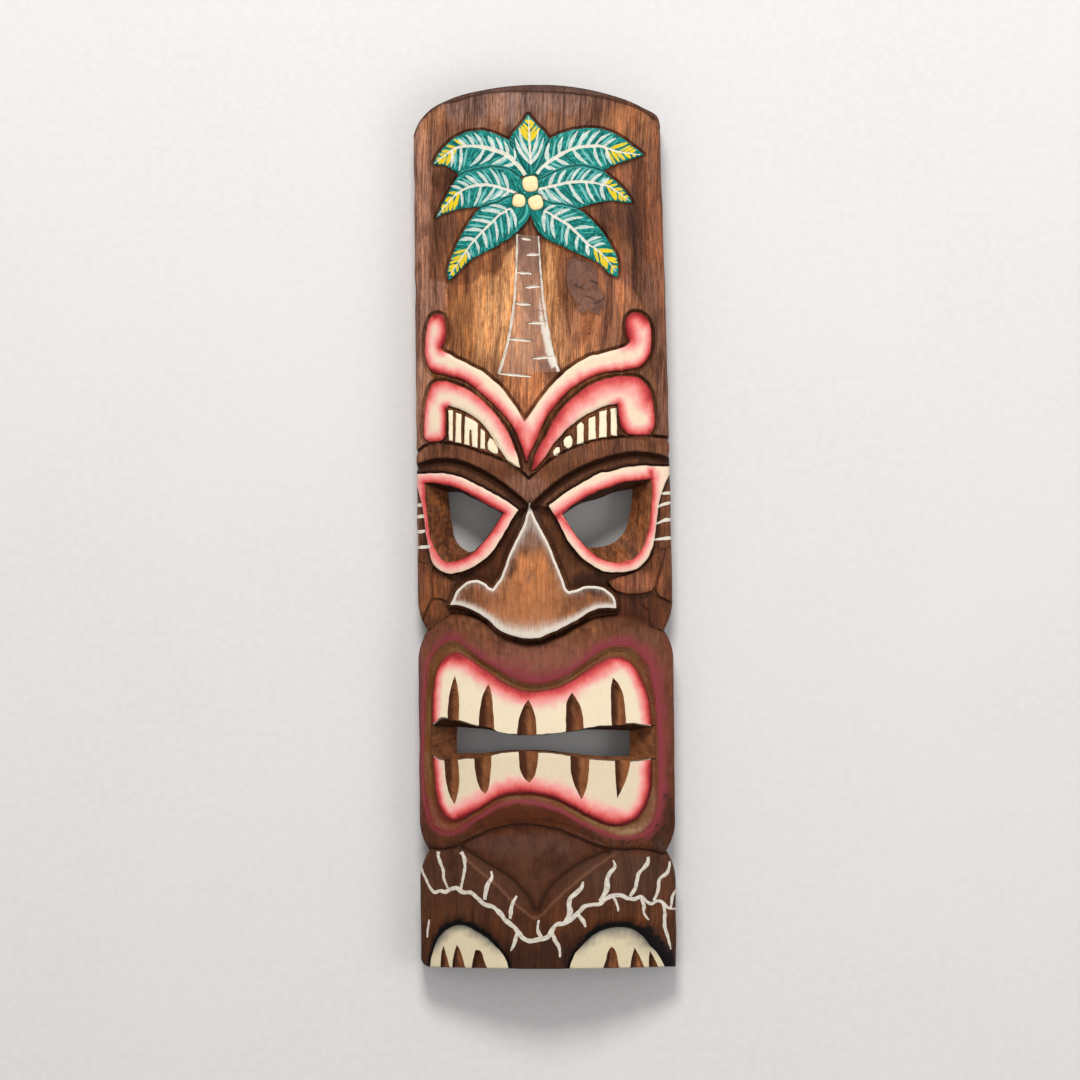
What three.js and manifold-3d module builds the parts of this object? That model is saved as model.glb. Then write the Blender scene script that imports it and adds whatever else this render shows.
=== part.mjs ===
// A tall wooden mask carved from one board and painted. It lies on its back, as when nothing holds it.
// Millimetres. +Z points out of the face, +Y towards the crown and +X to the right of someone looking at it.
// Places on the face are [x, y] from the middle of the mask. Depths are measured down from the rounded front.

import * as THREE from "three";
import { mergeVertices } from "three/addons/utils/BufferGeometryUtils.js";
import Module from "manifold-3d";

const wasm = await Module();
wasm.setup();

// The board
const HEIGHT = 500;
const TOP = HEIGHT / 2;
const FOOT = -HEIGHT / 2;
const FACE_HEIGHT = 38; // of the front above the floor, along the middle
const FACE_RADIUS = 153; // of the rounded front, across the board
const FACE_REACH = 90; // how far to each side the rounding is drawn, past the sides of the board
const LEFT_EDGE = { foot: -70.4, shoulder: -74.7, bow: 0 };
const RIGHT_EDGE = { foot: 74.7, shoulder: 65.4, bow: 2 };
const SHOULDER = 224; // height at which the sides turn into the crown
const WAISTS = [-59, -184]; // heights of the notches above the mouth and above the feet
const WAIST_DEPTH = 5.2;
const WAIST_REACH = 17; // above and below the middle of a waist
const CROWN_BEVEL = 6; // how far the bevel draws the crown in
const BEVEL_START = 22; // height above the floor
const BEVEL_END = 40; // just over the front
const FOOT_CORNER = 5;

// The hollow in the back
const HOLLOW_HALF_WIDTH = 60;
const HOLLOW_TOP = 205;
const HOLLOW_FOOT = -190;
const HOLLOW_HEIGHT = 24;
const HOLLOW_ROUNDNESS = 2.3; // across; 2 would be half an ellipse, and more is squarer

// How deep the carving goes
const SOCKET_DEPTH = 6;
const RIM_DEPTH = 1.5;
const BAND_DEPTH = 3; // the band round the mouth, and the gaps between the teeth
const GROOVE_DEPTH = 2;
const LEAF_DEPTH = 1;
const NOSE_ROOT_DEPTH = 4;
const NOSE_RISE = 9; // of the nose's ridge, from its root to its tip
const GROOVE = 3; // width
const FINE_GROOVE = 1.6;

// Beyond every face, for cutting tools
const ABOVE = 80;
const BELOW = -5;
const BEYOND = 300;
const WELD = 1e-4; // corners closer than this are one corner

const lerp = THREE.MathUtils.lerp;
const clamp = THREE.MathUtils.clamp;

// Outlines

/** Points along a smooth curve through places on the face, two for each stretch. */
function curve(places, stepsEach = 2) {
  const points = places.map(([x, y]) => new THREE.Vector2(x, y));
  return new THREE.SplineCurve(points).getPoints(stepsEach * (places.length - 1));
}

/** A closed outline, anticlockwise, of smooth sides that meet at corners. */
function ring(...sides) {
  const points = sides.flatMap((side) => curve(side).slice(0, -1));
  return THREE.ShapeUtils.isClockWise(points) ? points.reverse() : points;
}

/** The outline of a groove of a given width along a smooth curve. */
function stroke(width, places) {
  const line = curve(places);
  const shifted = (side) => line.map((point, i) => {
    const before = line[Math.max(i - 1, 0)];
    const after = line[Math.min(i + 1, line.length - 1)];
    const across = after.clone().sub(before).normalize().rotateAround(new THREE.Vector2(), Math.PI / 2);
    return point.clone().addScaledVector(across, (side * width) / 2);
  });
  return [...shifted(1), ...shifted(-1).reverse()];
}

// Solids

function toSolid(geometry) {
  geometry.deleteAttribute("normal");
  geometry.deleteAttribute("uv");
  const welded = mergeVertices(geometry, WELD);
  return new wasm.Manifold(new wasm.Mesh({
    numProp: 3,
    vertProperties: Float32Array.from(welded.attributes.position.array),
    triVerts: Uint32Array.from(welded.index.array),
  }));
}

/** An upright solid over an outline. */
function slab(outline, low = BELOW, high = ABOVE) {
  const settings = { depth: high - low, bevelEnabled: false };
  const geometry = new THREE.ExtrudeGeometry(new THREE.Shape(outline), settings);
  return toSolid(geometry.translate(0, 0, low));
}

/** A solid that runs along the board, with an outline in X and Z. */
function along(outline) {
  const settings = { depth: 2 * BEYOND, bevelEnabled: false };
  const geometry = new THREE.ExtrudeGeometry(new THREE.Shape(outline), settings);
  return toSolid(geometry.rotateX(Math.PI / 2).translate(0, BEYOND, 0));
}

/** A solid that runs across the board, with an outline in Y and Z. */
function across(outline) {
  const settings = { depth: 2 * BEYOND, bevelEnabled: false };
  const geometry = new THREE.ExtrudeGeometry(new THREE.Shape(outline), settings);
  return toSolid(geometry.rotateX(Math.PI / 2).rotateZ(Math.PI / 2).translate(-BEYOND, 0, 0));
}

/** A closed solid through outlines with as many points each, from the lowest up: [outline, height at x]. */
function loft(levels) {
  const count = levels[0][0].length;
  const places = levels.flatMap(([outline, heightAt]) => outline.flatMap((p) => [p.x, p.y, heightAt(p.x)]));
  const faces = [];
  for (let level = 0; level + 1 < levels.length; level += 1) {
    for (let i = 0; i < count; i += 1) {
      const a = level * count + i;
      const b = level * count + ((i + 1) % count);
      faces.push(a, b, b + count, a, b + count, a + count);
    }
  }
  const last = (levels.length - 1) * count;
  for (const [a, b, c] of THREE.ShapeUtils.triangulateShape(levels[0][0], [])) {
    faces.push(a, c, b);
  }
  for (const [a, b, c] of THREE.ShapeUtils.triangulateShape(levels.at(-1)[0], [])) {
    faces.push(last + a, last + b, last + c);
  }
  return new wasm.Manifold(new wasm.Mesh({
    numProp: 3,
    vertProperties: Float32Array.from(places),
    triVerts: Uint32Array.from(faces),
  }));
}

/** Height of the rounded front above the floor. */
function faceAt(x) {
  return FACE_HEIGHT - FACE_RADIUS + Math.sqrt(FACE_RADIUS ** 2 - x ** 2);
}

/** Height of the hollow above the floor, along its middle. */
function hollowAt(x) {
  return HOLLOW_HEIGHT * (1 - Math.abs(x / HOLLOW_HALF_WIDTH) ** HOLLOW_ROUNDNESS) ** (1 / HOLLOW_ROUNDNESS);
}

/** Everything under the rounded front, or under a face cut `depth` below it. */
function underFace(depth) {
  const facets = 18;
  const arc = [];
  for (let i = 0; i <= facets; i += 1) {
    const x = lerp(-FACE_REACH, FACE_REACH, i / facets);
    arc.push(new THREE.Vector2(x, faceAt(x) - depth));
  }
  return [new THREE.Vector2(arc[0].x, BELOW), new THREE.Vector2(arc.at(-1).x, BELOW), ...arc.reverse()];
}

// The board and its hollow

/** How far the waists draw a side in at height y. */
function waistAt(y) {
  return WAISTS.reduce((sum, middle) => {
    const away = clamp(Math.abs(y - middle) / WAIST_REACH, 0, 1);
    return sum + WAIST_DEPTH * (1 - away) ** 2;
  }, 0);
}

function edgeAt(edge, y) {
  const share = (y - FOOT) / (SHOULDER - FOOT);
  return lerp(edge.foot, edge.shoulder, share) + edge.bow * Math.sin(Math.PI * share);
}

/** Heights at which the sides have a corner: close together at the waists and far apart elsewhere. */
function sideHeights() {
  const coarse = 40;
  const fine = 4;
  const heights = [];
  let y = FOOT + FOOT_CORNER;
  while (y < SHOULDER) {
    heights.push(y);
    const ahead = WAISTS.map((middle) => middle - WAIST_REACH).filter((start) => start > y);
    const atWaist = WAISTS.some((middle) => Math.abs(y - middle) < WAIST_REACH + fine);
    y += atWaist ? fine : Math.min(coarse, ...ahead.map((start) => start - y + 0.01));
  }
  return heights;
}

function boardOutline() {
  const heights = sideHeights();
  const right = heights.map((y) => new THREE.Vector2(edgeAt(RIGHT_EDGE, y) - waistAt(y), y));
  const left = heights.map((y) => new THREE.Vector2(edgeAt(LEFT_EDGE, y) + waistAt(y), y)).reverse();
  const crown = curve([
    [edgeAt(RIGHT_EDGE, SHOULDER), SHOULDER + 2], [64, 232], [55, 237.5], [34.5, 245], [14.5, 249],
    [-8.5, TOP], [-35, 247], [-54, 242], [-65, 236.5], [-71.5, 229.5],
    [edgeAt(LEFT_EDGE, SHOULDER), SHOULDER - 2],
  ]);
  const feet = [
    new THREE.Vector2(edgeAt(LEFT_EDGE, FOOT) + FOOT_CORNER, FOOT),
    new THREE.Vector2(edgeAt(RIGHT_EDGE, FOOT), FOOT),
  ];
  return [...feet, ...right, ...crown, ...left];
}

function makeBoard() {
  const outline = boardOutline();
  const crownStart = SHOULDER - 10;
  const bevelled = outline.map((p) => {
    const share = clamp((p.y - crownStart) / (TOP - crownStart), 0, 1);
    return new THREE.Vector2(p.x, p.y - CROWN_BEVEL * share);
  });
  const blank = loft([[outline, () => 0], [outline, () => BEVEL_START], [bevelled, () => BEVEL_END]]);
  return blank.intersect(along(underFace(0)));
}

/** Half an ellipse of one width standing on the floor, as an outline in two axes. */
function vault(low, high, rise, power) {
  const facets = 20;
  const middle = (low + high) / 2;
  const half = (high - low) / 2;
  const points = [new THREE.Vector2(high, BELOW)];
  for (let i = 0; i <= facets; i += 1) {
    const angle = (Math.PI * i) / facets;
    const out = Math.sign(Math.cos(angle)) * Math.abs(Math.cos(angle)) ** (2 / power);
    points.push(new THREE.Vector2(middle + half * out, rise * Math.sin(angle) ** (2 / power)));
  }
  points.push(new THREE.Vector2(low, BELOW));
  return points;
}

function makeHollow() {
  const endRoundness = 5;
  const planRoundness = 3.5;
  const corners = 32;
  const middle = (HOLLOW_TOP + HOLLOW_FOOT) / 2;
  const half = (HOLLOW_TOP - HOLLOW_FOOT) / 2;
  const plan = [];
  for (let i = 0; i < corners; i += 1) {
    const angle = (2 * Math.PI * i) / corners;
    const [c, s] = [Math.cos(angle), Math.sin(angle)];
    const bulge = (Math.abs(c) ** planRoundness + Math.abs(s) ** planRoundness) ** (-1 / planRoundness);
    plan.push(new THREE.Vector2(HOLLOW_HALF_WIDTH * bulge * c, middle + half * bulge * s));
  }
  const sideways = along(vault(-HOLLOW_HALF_WIDTH, HOLLOW_HALF_WIDTH, HOLLOW_HEIGHT, HOLLOW_ROUNDNESS));
  const lengthways = across(vault(HOLLOW_FOOT, HOLLOW_TOP, HOLLOW_HEIGHT + 1, endRoundness));
  return slab(plan).intersect(sideways).intersect(lengthways);
}

// The eyes, the nose and the mouth

// Each eye has its rim, the edge of its hole at the front and the edge of the same hole at the back.
// The holes narrow towards the back, so the two edges have as many places each.
const EYES = [
  {
    rim: [
      [[-72.5, 24], [-70, 29.5], [-56.5, 30], [-39.5, 24], [-23, 14.7], [-15, 9.5]],
      [
        [-15, 9.5], [-22, -2], [-33, -17], [-41.5, -23], [-54.5, -26.5], [-61, -23.5], [-65, -16],
        [-68.5, 4], [-72.5, 24],
      ],
    ],
    front: [
      [[-68.5, 24.5], [-59.5, 24.5], [-46, 20], [-29, 10.5], [-23, 7.5]],
      [[-23, 7.5], [-31, -5], [-38, -13], [-47, -18.5], [-55, -20.5], [-61, -15], [-65, -6], [-68.5, 24.5]],
    ],
    back: [
      [[-54.5, 19.5], [-50, 19.5], [-46, 18.5], [-32, 11.5], [-24, 7]],
      [
        [-24, 7], [-30, -2], [-36, -9.5], [-42.5, -14.5], [-47, -12.5], [-50, -9.5], [-52.5, 0],
        [-54.5, 19.5],
      ],
    ],
  },
  {
    rim: [
      [[2.5, 11.5], [15, 21], [31, 30], [43.5, 33], [55, 34.5], [69.5, 34]],
      [
        [69.5, 34], [66.5, 21], [64, 11], [62, -7], [58, -17.5], [51.5, -24], [41, -26], [30, -24],
        [14, -9.5], [2.5, 11.5],
      ],
    ],
    front: [
      [[9.5, 6.5], [20, 15], [31, 20.5], [43.5, 25], [59.5, 27]],
      [
        [59.5, 27], [60, 10], [58, -4.5], [54, -14.5], [46, -19.5], [36, -20], [26.5, -15], [18.5, -7],
        [9.5, 6.5],
      ],
    ],
    back: [
      [[10, 6], [20, 12.5], [32, 16.5], [43.5, 20], [50, 21]],
      [[50, 21], [49, 10], [46, -1.5], [42, -6.5], [38, -9.5], [32, -12], [26.5, -12], [20, -7.5], [10, 6]],
    ],
  },
];

const FACE_CUT = [
  [[-90, 33], [-72.5, 33], [-59.5, 36.5], [-42.5, 33], [-25.5, 24], [-10, 12.5]],
  [[-10, 12.5], [8.5, 25.5], [31, 37], [54, 41], [71, 38], [90, 38]],
  [[90, 38], [90, -59]],
  [[90, -59], [65, -58.5], [50.5, -52.5], [31, -52.5], [18, -57.5], [6, -64], [-7.5, -67]],
  [[-7.5, -67], [-22, -63.5], [-35.5, -54.5], [-49, -50.5], [-58.5, -53], [-66, -58.5], [-90, -59]],
  [[-90, -59], [-90, 33]],
];

const NOSE = [
  [[-8.5, 11], [-14.5, -4.5], [-22, -21.5], [-29.5, -35]],
  [[-29.5, -35], [-36, -31], [-43.5, -31], [-50, -36.5], [-53.5, -44.5]],
  [
    [-53.5, -44.5], [-41.5, -47], [-29, -56], [-16.5, -62], [-7.5, -63.5], [5.5, -59], [18.5, -52.5],
    [28, -47],
  ],
  [[28, -47], [40, -46], [38, -38.5], [31, -34.5], [22, -34], [13.5, -37]],
  [[13.5, -37], [4.5, -19.5], [-5, 3.5], [-8.5, 11]],
];

const LIPS = [
  [[-68, -98], [-65, -75], [-59.5, -67], [-51, -64], [-37, -74], [-20, -84.5], [-3, -88.5]],
  [[-3, -88.5], [16, -81], [31, -70.5], [46, -67], [58, -77], [62.5, -98]],
  [[62.5, -98], [65, -137], [63.5, -163], [57, -173], [45, -175.5], [26.5, -170], [0, -157], [-17, -155]],
  [[-17, -155], [-38, -164.5], [-56, -173.5], [-65.5, -164], [-68.5, -148], [-68, -98]],
];

const TEETH = [
  [[-63.5, -98], [-60.5, -80.5], [-51, -72], [-35.5, -80], [-21, -90], [-5.5, -93.5]],
  [[-5.5, -93.5], [12, -89], [29, -78.5], [39, -74], [52.5, -83], [58.5, -98]],
  [[58.5, -98], [59.5, -140], [55, -160], [41.5, -168.5], [24.5, -163], [7.5, -154], [-9.5, -150.5]],
  [[-9.5, -150.5], [-25.5, -152.5], [-43.5, -163], [-52.5, -166], [-60.5, -154.5], [-63, -137], [-63.5, -98]],
];

const MOUTH_FRONT = [
  [[-63.5, -112], [-40, -112], [-22, -117], [-9, -118], [8, -117], [30, -113], [60.5, -112]],
  [[60.5, -112], [60.5, -131]],
  [[60.5, -131], [30, -131.5], [8, -128], [-9, -127.5], [-22, -128], [-40, -131.5], [-63.5, -131.5]],
  [[-63.5, -131.5], [-63.5, -112]],
];
const MOUTH_BACK = [
  [[-50, -115.5], [-40, -115.5], [-22, -118], [-9, -118.5], [8, -118], [30, -117], [48, -117]],
  [[48, -117], [48, -129]],
  [[48, -129], [30, -130], [8, -127.5], [-9, -127], [-22, -127.5], [-40, -130.5], [-50, -130.5]],
  [[-50, -130.5], [-50, -115.5]],
];
const TEETH_MIDDLE = -122; // the height of the mouth's slot
// The gaps between the teeth: half the width at the slot, the middle there, and the tip.
const TOOTH_GAPS = [
  [3.5, -52, [-51, -85]], [4.5, -33, [-32, -89]], [6, -10.5, [-9.5, -98]], [5, 17, [15.5, -94]],
  [4.5, 41, [38.5, -86]],
  [3.5, -53.5, [-50.5, -157]], [5, -35.5, [-34, -152]], [5.5, -9.5, [-8.5, -144.5]], [5.5, 20, [20.5, -154]],
  [4.5, 44, [40.5, -154]],
];

/** A hole through the board that narrows from its edge in the front to its edge in the hollow. */
function makeHole(front, back) {
  return loft([[back, () => BELOW], [back, hollowAt], [front, faceAt], [front, () => ABOVE]]);
}

/** The nose's top: the rounded front, tipped up so that the ridge rises towards the tip of the nose. */
function makeNose() {
  const root = NOSE[0][0][1];
  const length = root - NOSE[2][4][1];
  const settings = { depth: 2 * BEYOND, bevelEnabled: false };
  const top = new THREE.ExtrudeGeometry(new THREE.Shape(underFace(NOSE_ROOT_DEPTH)), settings);
  top.rotateX(Math.PI / 2).translate(0, BEYOND - root, -FACE_HEIGHT);
  top.rotateX(-Math.atan2(NOSE_RISE, length)).translate(0, root, FACE_HEIGHT);
  const floor = slab(ring(...NOSE), HOLLOW_HEIGHT, ABOVE);
  return floor.intersect(toSolid(top));
}

// The grooves

const BROW = [
  [[-85, 37], [-72, 42.5], [-59.5, 47.5], [-42.5, 44.5], [-25.5, 38], [-9.5, 27.5]],
  [[-9.5, 27.5], [9.5, 41.5], [31, 49], [54, 51.5], [70, 50.5], [85, 50]],
];
const UPPER_HORN_TOP = [
  [[-62.5, 120], [-59.5, 119.5], [-56, 107], [-59, 100.5]],
  [[-59, 100.5], [-45, 93], [-31, 84], [-20.5, 73], [-11.5, 59]],
  [[-11.5, 59], [-4, 70], [8.5, 84.5], [22, 94.5], [35.5, 99], [48, 104.5]],
  [[48, 104.5], [45.5, 112], [52, 121]],
];
const HORNS_BETWEEN = [
  [[-62.5, 120], [-68, 104.5], [-64.5, 88.5], [-51, 84.5], [-33.5, 73.5], [-22, 62], [-10.5, 36.5]],
  [[-10.5, 36.5], [0, 60], [16, 78.5], [32, 87], [50.5, 89.5], [59, 96.5], [59.5, 113], [52, 121]],
];
const LOWER_HORN_OUTSIDE = [
  [[-68.5, 50], [-68.5, 58], [-64.5, 79]],
  [[50.5, 84.5], [59.5, 77], [61.5, 53]],
];
const LOWER_HORN_INSIDE = [
  [[-57, 49], [-56.5, 65]],
  [[-56.5, 65], [-51, 67.5], [-37.5, 59.5], [-26.5, 45.5], [-20.5, 36.5]],
  [[43, 54], [41.5, 69.5]],
  [[41.5, 69.5], [25.5, 64], [12, 54.5], [0.5, 40], [-4.5, 33.5]],
];
const CHIN = [
  [
    [-66, -183], [-51, -182], [-37, -174.5], [-20, -169], [-3, -169], [14, -174], [31, -180.5], [56.5, -183],
    [69, -185.5],
  ],
  [[-44.5, -182], [-34, -190], [-20.5, -198], [-5, -216.5]],
  [[-5, -216.5], [11, -197], [22, -189.5], [36, -184]],
];
const FEET = [
  [[-65, -252], [-62.5, -238], [-56.5, -230], [-48, -227], [-34.5, -230], [-24.5, -240], [-20.5, -252]],
  [[13, -252], [19.5, -238.5], [31, -228.5], [46, -226.5], [57, -233], [64, -241], [68, -252]],
];
// The gaps between the toes: half the width at the foot's edge, the middle there, and the tip.
const TOE_GAPS = [
  [2.5, -57, [-57.5, -238]], [3.5, -49, [-50, -237]], [4, -37, [-37.5, -239.5]],
  [4.5, 38.5, [38, -238]], [3.5, 53, [51, -238.5]], [2.5, 61.5, [60, -241]],
];

/** A wedge that widens from its tip to a straight edge at height y. */
function wedge([half, middle, tip], y) {
  const base = [new THREE.Vector2(middle - half, y), new THREE.Vector2(middle + half, y)];
  return [new THREE.Vector2(...tip), ...base];
}

// The palm

const PALM_HUB = [-8.5, 190];
// Each leaf: its tip, how far its upper side bows out, and how far its lower side does.
const LEAVES = [
  [[-10, 232], 9, 9],
  [[-67, 204], 22, 8],
  [[-65, 170], 14, 8],
  [[-56.5, 135], 9, 13],
  [[56, 210], 20, 8],
  [[49.5, 183.5], 10, 9],
  [[44.5, 139], 13, 9],
];
const TRUNK = [
  [[-15.5, 165], [-16, 147], [-17, 129], [-20, 109], [-26, 86]],
  [[-3.5, 164], [-2.5, 147], [-0.5, 125], [3.5, 102], [7.5, 87.5]],
];

/** A leaf that bows out on both sides of the line from the hub to its tip. */
function leafOutline([tip, upper, lower]) {
  const hub = new THREE.Vector2(...PALM_HUB);
  const end = new THREE.Vector2(...tip);
  const outward = Math.sign(tip[0] - PALM_HUB[0]);
  const across = end.clone().sub(hub).normalize().rotateAround(new THREE.Vector2(), (outward * Math.PI) / 2);
  const side = (bow, from, to) => {
    const bend = from.clone().lerp(to, 0.5).addScaledVector(across, 2 * bow);
    return new THREE.QuadraticBezierCurve(from, bend, to).getPoints(6).slice(0, -1);
  };
  const points = [...side(upper, hub, end), ...side(-lower, end, hub)];
  return THREE.ShapeUtils.isClockWise(points) ? points.reverse() : points;
}

// Putting it together

/** Everything above a face cut `depth` below the front, inside any of the outlines. */
function carving(outlines, depth) {
  const tools = outlines.map((outline) => slab(outline));
  const joined = tools.reduce((all, tool) => all.add(tool));
  return joined.subtract(along(underFace(depth)));
}

function makeMask() {
  const rims = EYES.map((eye) => ring(...eye.rim));
  const raisedRims = rims.map((rim) => slab(rim, HOLLOW_HEIGHT / 2).intersect(along(underFace(RIM_DEPTH))));
  const holes = EYES.map((eye) => makeHole(ring(...eye.front), ring(...eye.back)));
  const lipBand = carving([ring(...LIPS)], BAND_DEPTH).subtract(slab(ring(...TEETH)));
  const toothGaps = TOOTH_GAPS.map((gap) => wedge(gap, TEETH_MIDDLE));
  const toeGaps = TOE_GAPS.map((gap) => wedge(gap, FOOT - 1));
  const horns = [...UPPER_HORN_TOP, ...HORNS_BETWEEN, ...LOWER_HORN_OUTSIDE, ...LOWER_HORN_INSIDE];
  const grooves = [...BROW, ...horns, ...CHIN, ...FEET].map((places) => stroke(GROOVE, places));
  const trunk = TRUNK.map((places) => stroke(FINE_GROOVE, places));

  const board = makeBoard();
  const faced = board.subtract(carving([ring(...FACE_CUT)], SOCKET_DEPTH)).add(makeNose());
  const rimmed = raisedRims.reduce((all, rim) => all.add(rim.intersect(board)), faced);
  const carved = rimmed
    .subtract(carving([...grooves, ...toeGaps], GROOVE_DEPTH))
    .subtract(carving(toothGaps, BAND_DEPTH))
    .subtract(lipBand)
    .subtract(carving([...LEAVES.map(leafOutline), ...trunk], LEAF_DEPTH))
    .subtract(makeHollow());
  const mouth = makeHole(ring(...MOUTH_FRONT), ring(...MOUTH_BACK));
  return [...holes, mouth].reduce((rest, hole) => rest.subtract(hole), carved);
}

/** The solid as a geometry, moved so that it lies on the floor with the origin under its middle. */
function toGeometry(solid) {
  const mesh = solid.getMesh();
  const geometry = new THREE.BufferGeometry();
  geometry.setAttribute("position", new THREE.BufferAttribute(mesh.vertProperties, mesh.numProp));
  geometry.setIndex(new THREE.BufferAttribute(mesh.triVerts, 1));
  geometry.computeBoundingBox();
  const middle = geometry.boundingBox.getCenter(new THREE.Vector3());
  return geometry.translate(-middle.x, -middle.y, -geometry.boundingBox.min.z);
}

const paintedWood = new THREE.MeshStandardMaterial({ color: 0x8a5a3c, roughness: 0.5, metalness: 0 });
const mask = new THREE.Mesh(toGeometry(makeMask()), paintedWood);
mask.name = "mask";

const part = new THREE.Group();
part.add(mask);

export default part;
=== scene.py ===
# A tall wooden mask, carved from one board and painted, lying on its back on a pale floor.
# Its outlines are places (x, y) in a square picture of it, 1080 pixels wide, with y down.
# Everything else on the mask is in millimetres from its middle, and the finished mesh is in metres.

import bpy
import numpy as np
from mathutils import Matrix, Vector, kdtree
from mathutils.geometry import delaunay_2d_cdt


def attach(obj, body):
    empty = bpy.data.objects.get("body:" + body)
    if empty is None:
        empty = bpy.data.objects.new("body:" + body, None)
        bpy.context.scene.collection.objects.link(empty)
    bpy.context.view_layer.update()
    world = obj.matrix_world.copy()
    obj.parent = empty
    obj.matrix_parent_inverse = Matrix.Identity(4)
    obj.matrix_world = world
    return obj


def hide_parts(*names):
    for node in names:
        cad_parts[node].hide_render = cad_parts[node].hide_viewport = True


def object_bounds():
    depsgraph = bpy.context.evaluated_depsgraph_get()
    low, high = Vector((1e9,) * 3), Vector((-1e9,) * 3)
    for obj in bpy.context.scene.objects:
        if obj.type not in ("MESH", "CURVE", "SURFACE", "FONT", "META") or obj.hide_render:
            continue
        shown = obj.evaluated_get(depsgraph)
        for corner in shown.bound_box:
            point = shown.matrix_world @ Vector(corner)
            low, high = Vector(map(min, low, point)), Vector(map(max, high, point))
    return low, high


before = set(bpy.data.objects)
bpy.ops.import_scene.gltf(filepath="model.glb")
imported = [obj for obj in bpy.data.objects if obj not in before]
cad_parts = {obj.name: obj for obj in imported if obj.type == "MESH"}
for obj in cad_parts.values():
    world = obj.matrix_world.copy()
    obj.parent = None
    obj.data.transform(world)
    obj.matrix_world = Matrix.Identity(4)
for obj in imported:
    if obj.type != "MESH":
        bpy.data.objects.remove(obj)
cad_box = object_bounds()

# The picture
PIXELS_PER_MM = 1.766
MIDDLE = (545.0, 527.4)  # the picture's place for the middle of the mask

# The board
TOP = 250.0
FACE_HEIGHT = 38.0  # of the front along the middle
FACE_RADIUS = 153.0  # of the rounded front
LEFT_FOOT, LEFT_SHOULDER = -70.4, -74.7
RIGHT_FOOT, RIGHT_SHOULDER, RIGHT_BOW = 74.7, 65.4, 2.0
SHOULDER = 224.0
WAISTS = (-59.0, -184.0)
WAIST_DEPTH = 5.2
WAIST_REACH = 17.0
FOOT_CORNER = 5.5
CROWN = [
    (65.4, 226), (64, 232), (55, 237.5), (34.5, 245), (14.5, 249), (-8.5, 250), (-35, 247), (-54, 242),
    (-65, 236.5), (-71.5, 229.5), (-74.7, 222),
]  # millimetres
BEVEL_FOOT = 29.0  # height at which the bevel of the crown starts
EDGE_ROUNDING = 2.2
NOTCHES = [(-1, 453), (-1, 469), (1, 441), (1, 456)]  # side, and the picture's y of a cut in that edge
NOTCH_DEPTH = 0.8
NOTCH_REACH = 1.3

# The hollow in the back
HOLLOW_HALF_WIDTH = 60.0
HOLLOW_TOP, HOLLOW_FOOT = 205.0, -190.0
HOLLOW_MIDDLE, HOLLOW_HALF_LENGTH = (HOLLOW_TOP + HOLLOW_FOOT) / 2, (HOLLOW_TOP - HOLLOW_FOOT) / 2
HOLLOW_HEIGHT = 24.0
HOLLOW_ROUNDNESS = 2.3
HOLLOW_END_ROUNDNESS = 5.0
HOLLOW_PLAN_ROUNDNESS = 3.5
HOLE_FOOT = 2.0  # the least height at which a hole opens into the hollow

# The carving
SOCKET_DEPTH = 6.0
RIM_DEPTH = 1.2
NOSE_ROOT = 11.0  # place along the mask
NOSE_ROOT_DEPTH = 4.0
NOSE_SLOPE = 0.118
NOSE_WALL = 2.6
BAND_DEPTH = 2.8
ON_LINE = 0.06  # a place this near an outline counts as on it
TOOTH_GAP_DEPTH = 3.2

# The mesh
FINE = 0.95  # between the mesh's corners along a carved line
COARSE = 1.35  # between its corners elsewhere
BACK_COARSE = 3.2
ROW_STEP = 0.866  # between the rows of the mesh, as a share of its spacing
CLEARANCE = 0.62  # the nearest that a filling point comes to a line, as a share of the spacing
SHARP = 38.0  # degrees
BATCH = 3_000_000  # how many distances are worked out at a time

# The paint
BLUSH_REACH = 1.95  # how much wider the reds are than their listed reach
THIN = 1.0  # mm: a stain that fades over less than this is a thin line
GAP_LOW, GAP_SPAN = -2.0, 8.0  # the distances from a thin line that are kept as 0 and up to 1

# Colours
GROOVE = "#30190d"
SOFT_STAIN_AND_SHADE = "#3b1d0d"
HOLE = "#6d4226"
CREAM = "#e0cbb0"
RIM_CREAM = "#e6cbb2"
TOOTH = "#e0d0b4"
# Darker than the teeth's cream: painted shade towards the bottom of the mask
SHADED_FOOT_CREAM = "#ccbea0"
BAR = "#eadcbe"
WHITE = "#e0dacd"
PETAL = "#d6d8d0"
RIB = "#dad2c4"
VINE = "#d3ccbf"
TEAL = "#128078"
YELLOW = "#dcbe14"
COCONUT = "#ecd5a4"
NOSE_EDGE = "#d2c8bc"
LIP_MAROON = "#84303c"
CHANNEL_GOLD = "#6a4019"
CHANNEL_PALE = "#8c7052"
CHANNEL_MAROON = "#6e2127"
TEETH_LINE = "#5c1219"
# Painted shade laid over the lower teeth
LOWER_TEETH_PAINTED_SHADE = "#7a5f46"
SOOT_BLACK = "#2a1d14"
# Painted shadow along the slot's edges
SLOT_PAINTED_SHADOW = "#1c0e07"
# The bevel's dark golden brown with painted shade, then a painted highlight on its outer edge
BEVEL_BROWN_AND_SHADE = "#452410"
BEVEL_PAINTED_HIGHLIGHT = "#85583f"
FOOT_BLACK = "#0e0b0a"
FOOT_GREY = "#3f4044"
PALE_TEAL = "#7dbab4"
DEEP_TEAL = "#054844"
HUB_TEAL = "#0f6f69"
SEAM_DARK = "#06544f"
SEAM_LIGHT = "#4c9f98"
NUT_SHADE = "#0a4d49"
NUT_EDGE = "#9c8044"
KNOT_GREY = "#6c4e44"
KNOT_DARK = "#34211a"
TRUNK_GREY = "#a98a80"
REDS = [
    (0.03, "#e6c8b0"), (0.12, "#e0b4a6"), (0.3, "#e39f97"), (0.48, "#db7d77"), (0.66, "#cb5451"),
    (0.8, "#b03b3c"), (0.97, "#861f24"),
]  # from the palest blush to the deepest red


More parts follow.
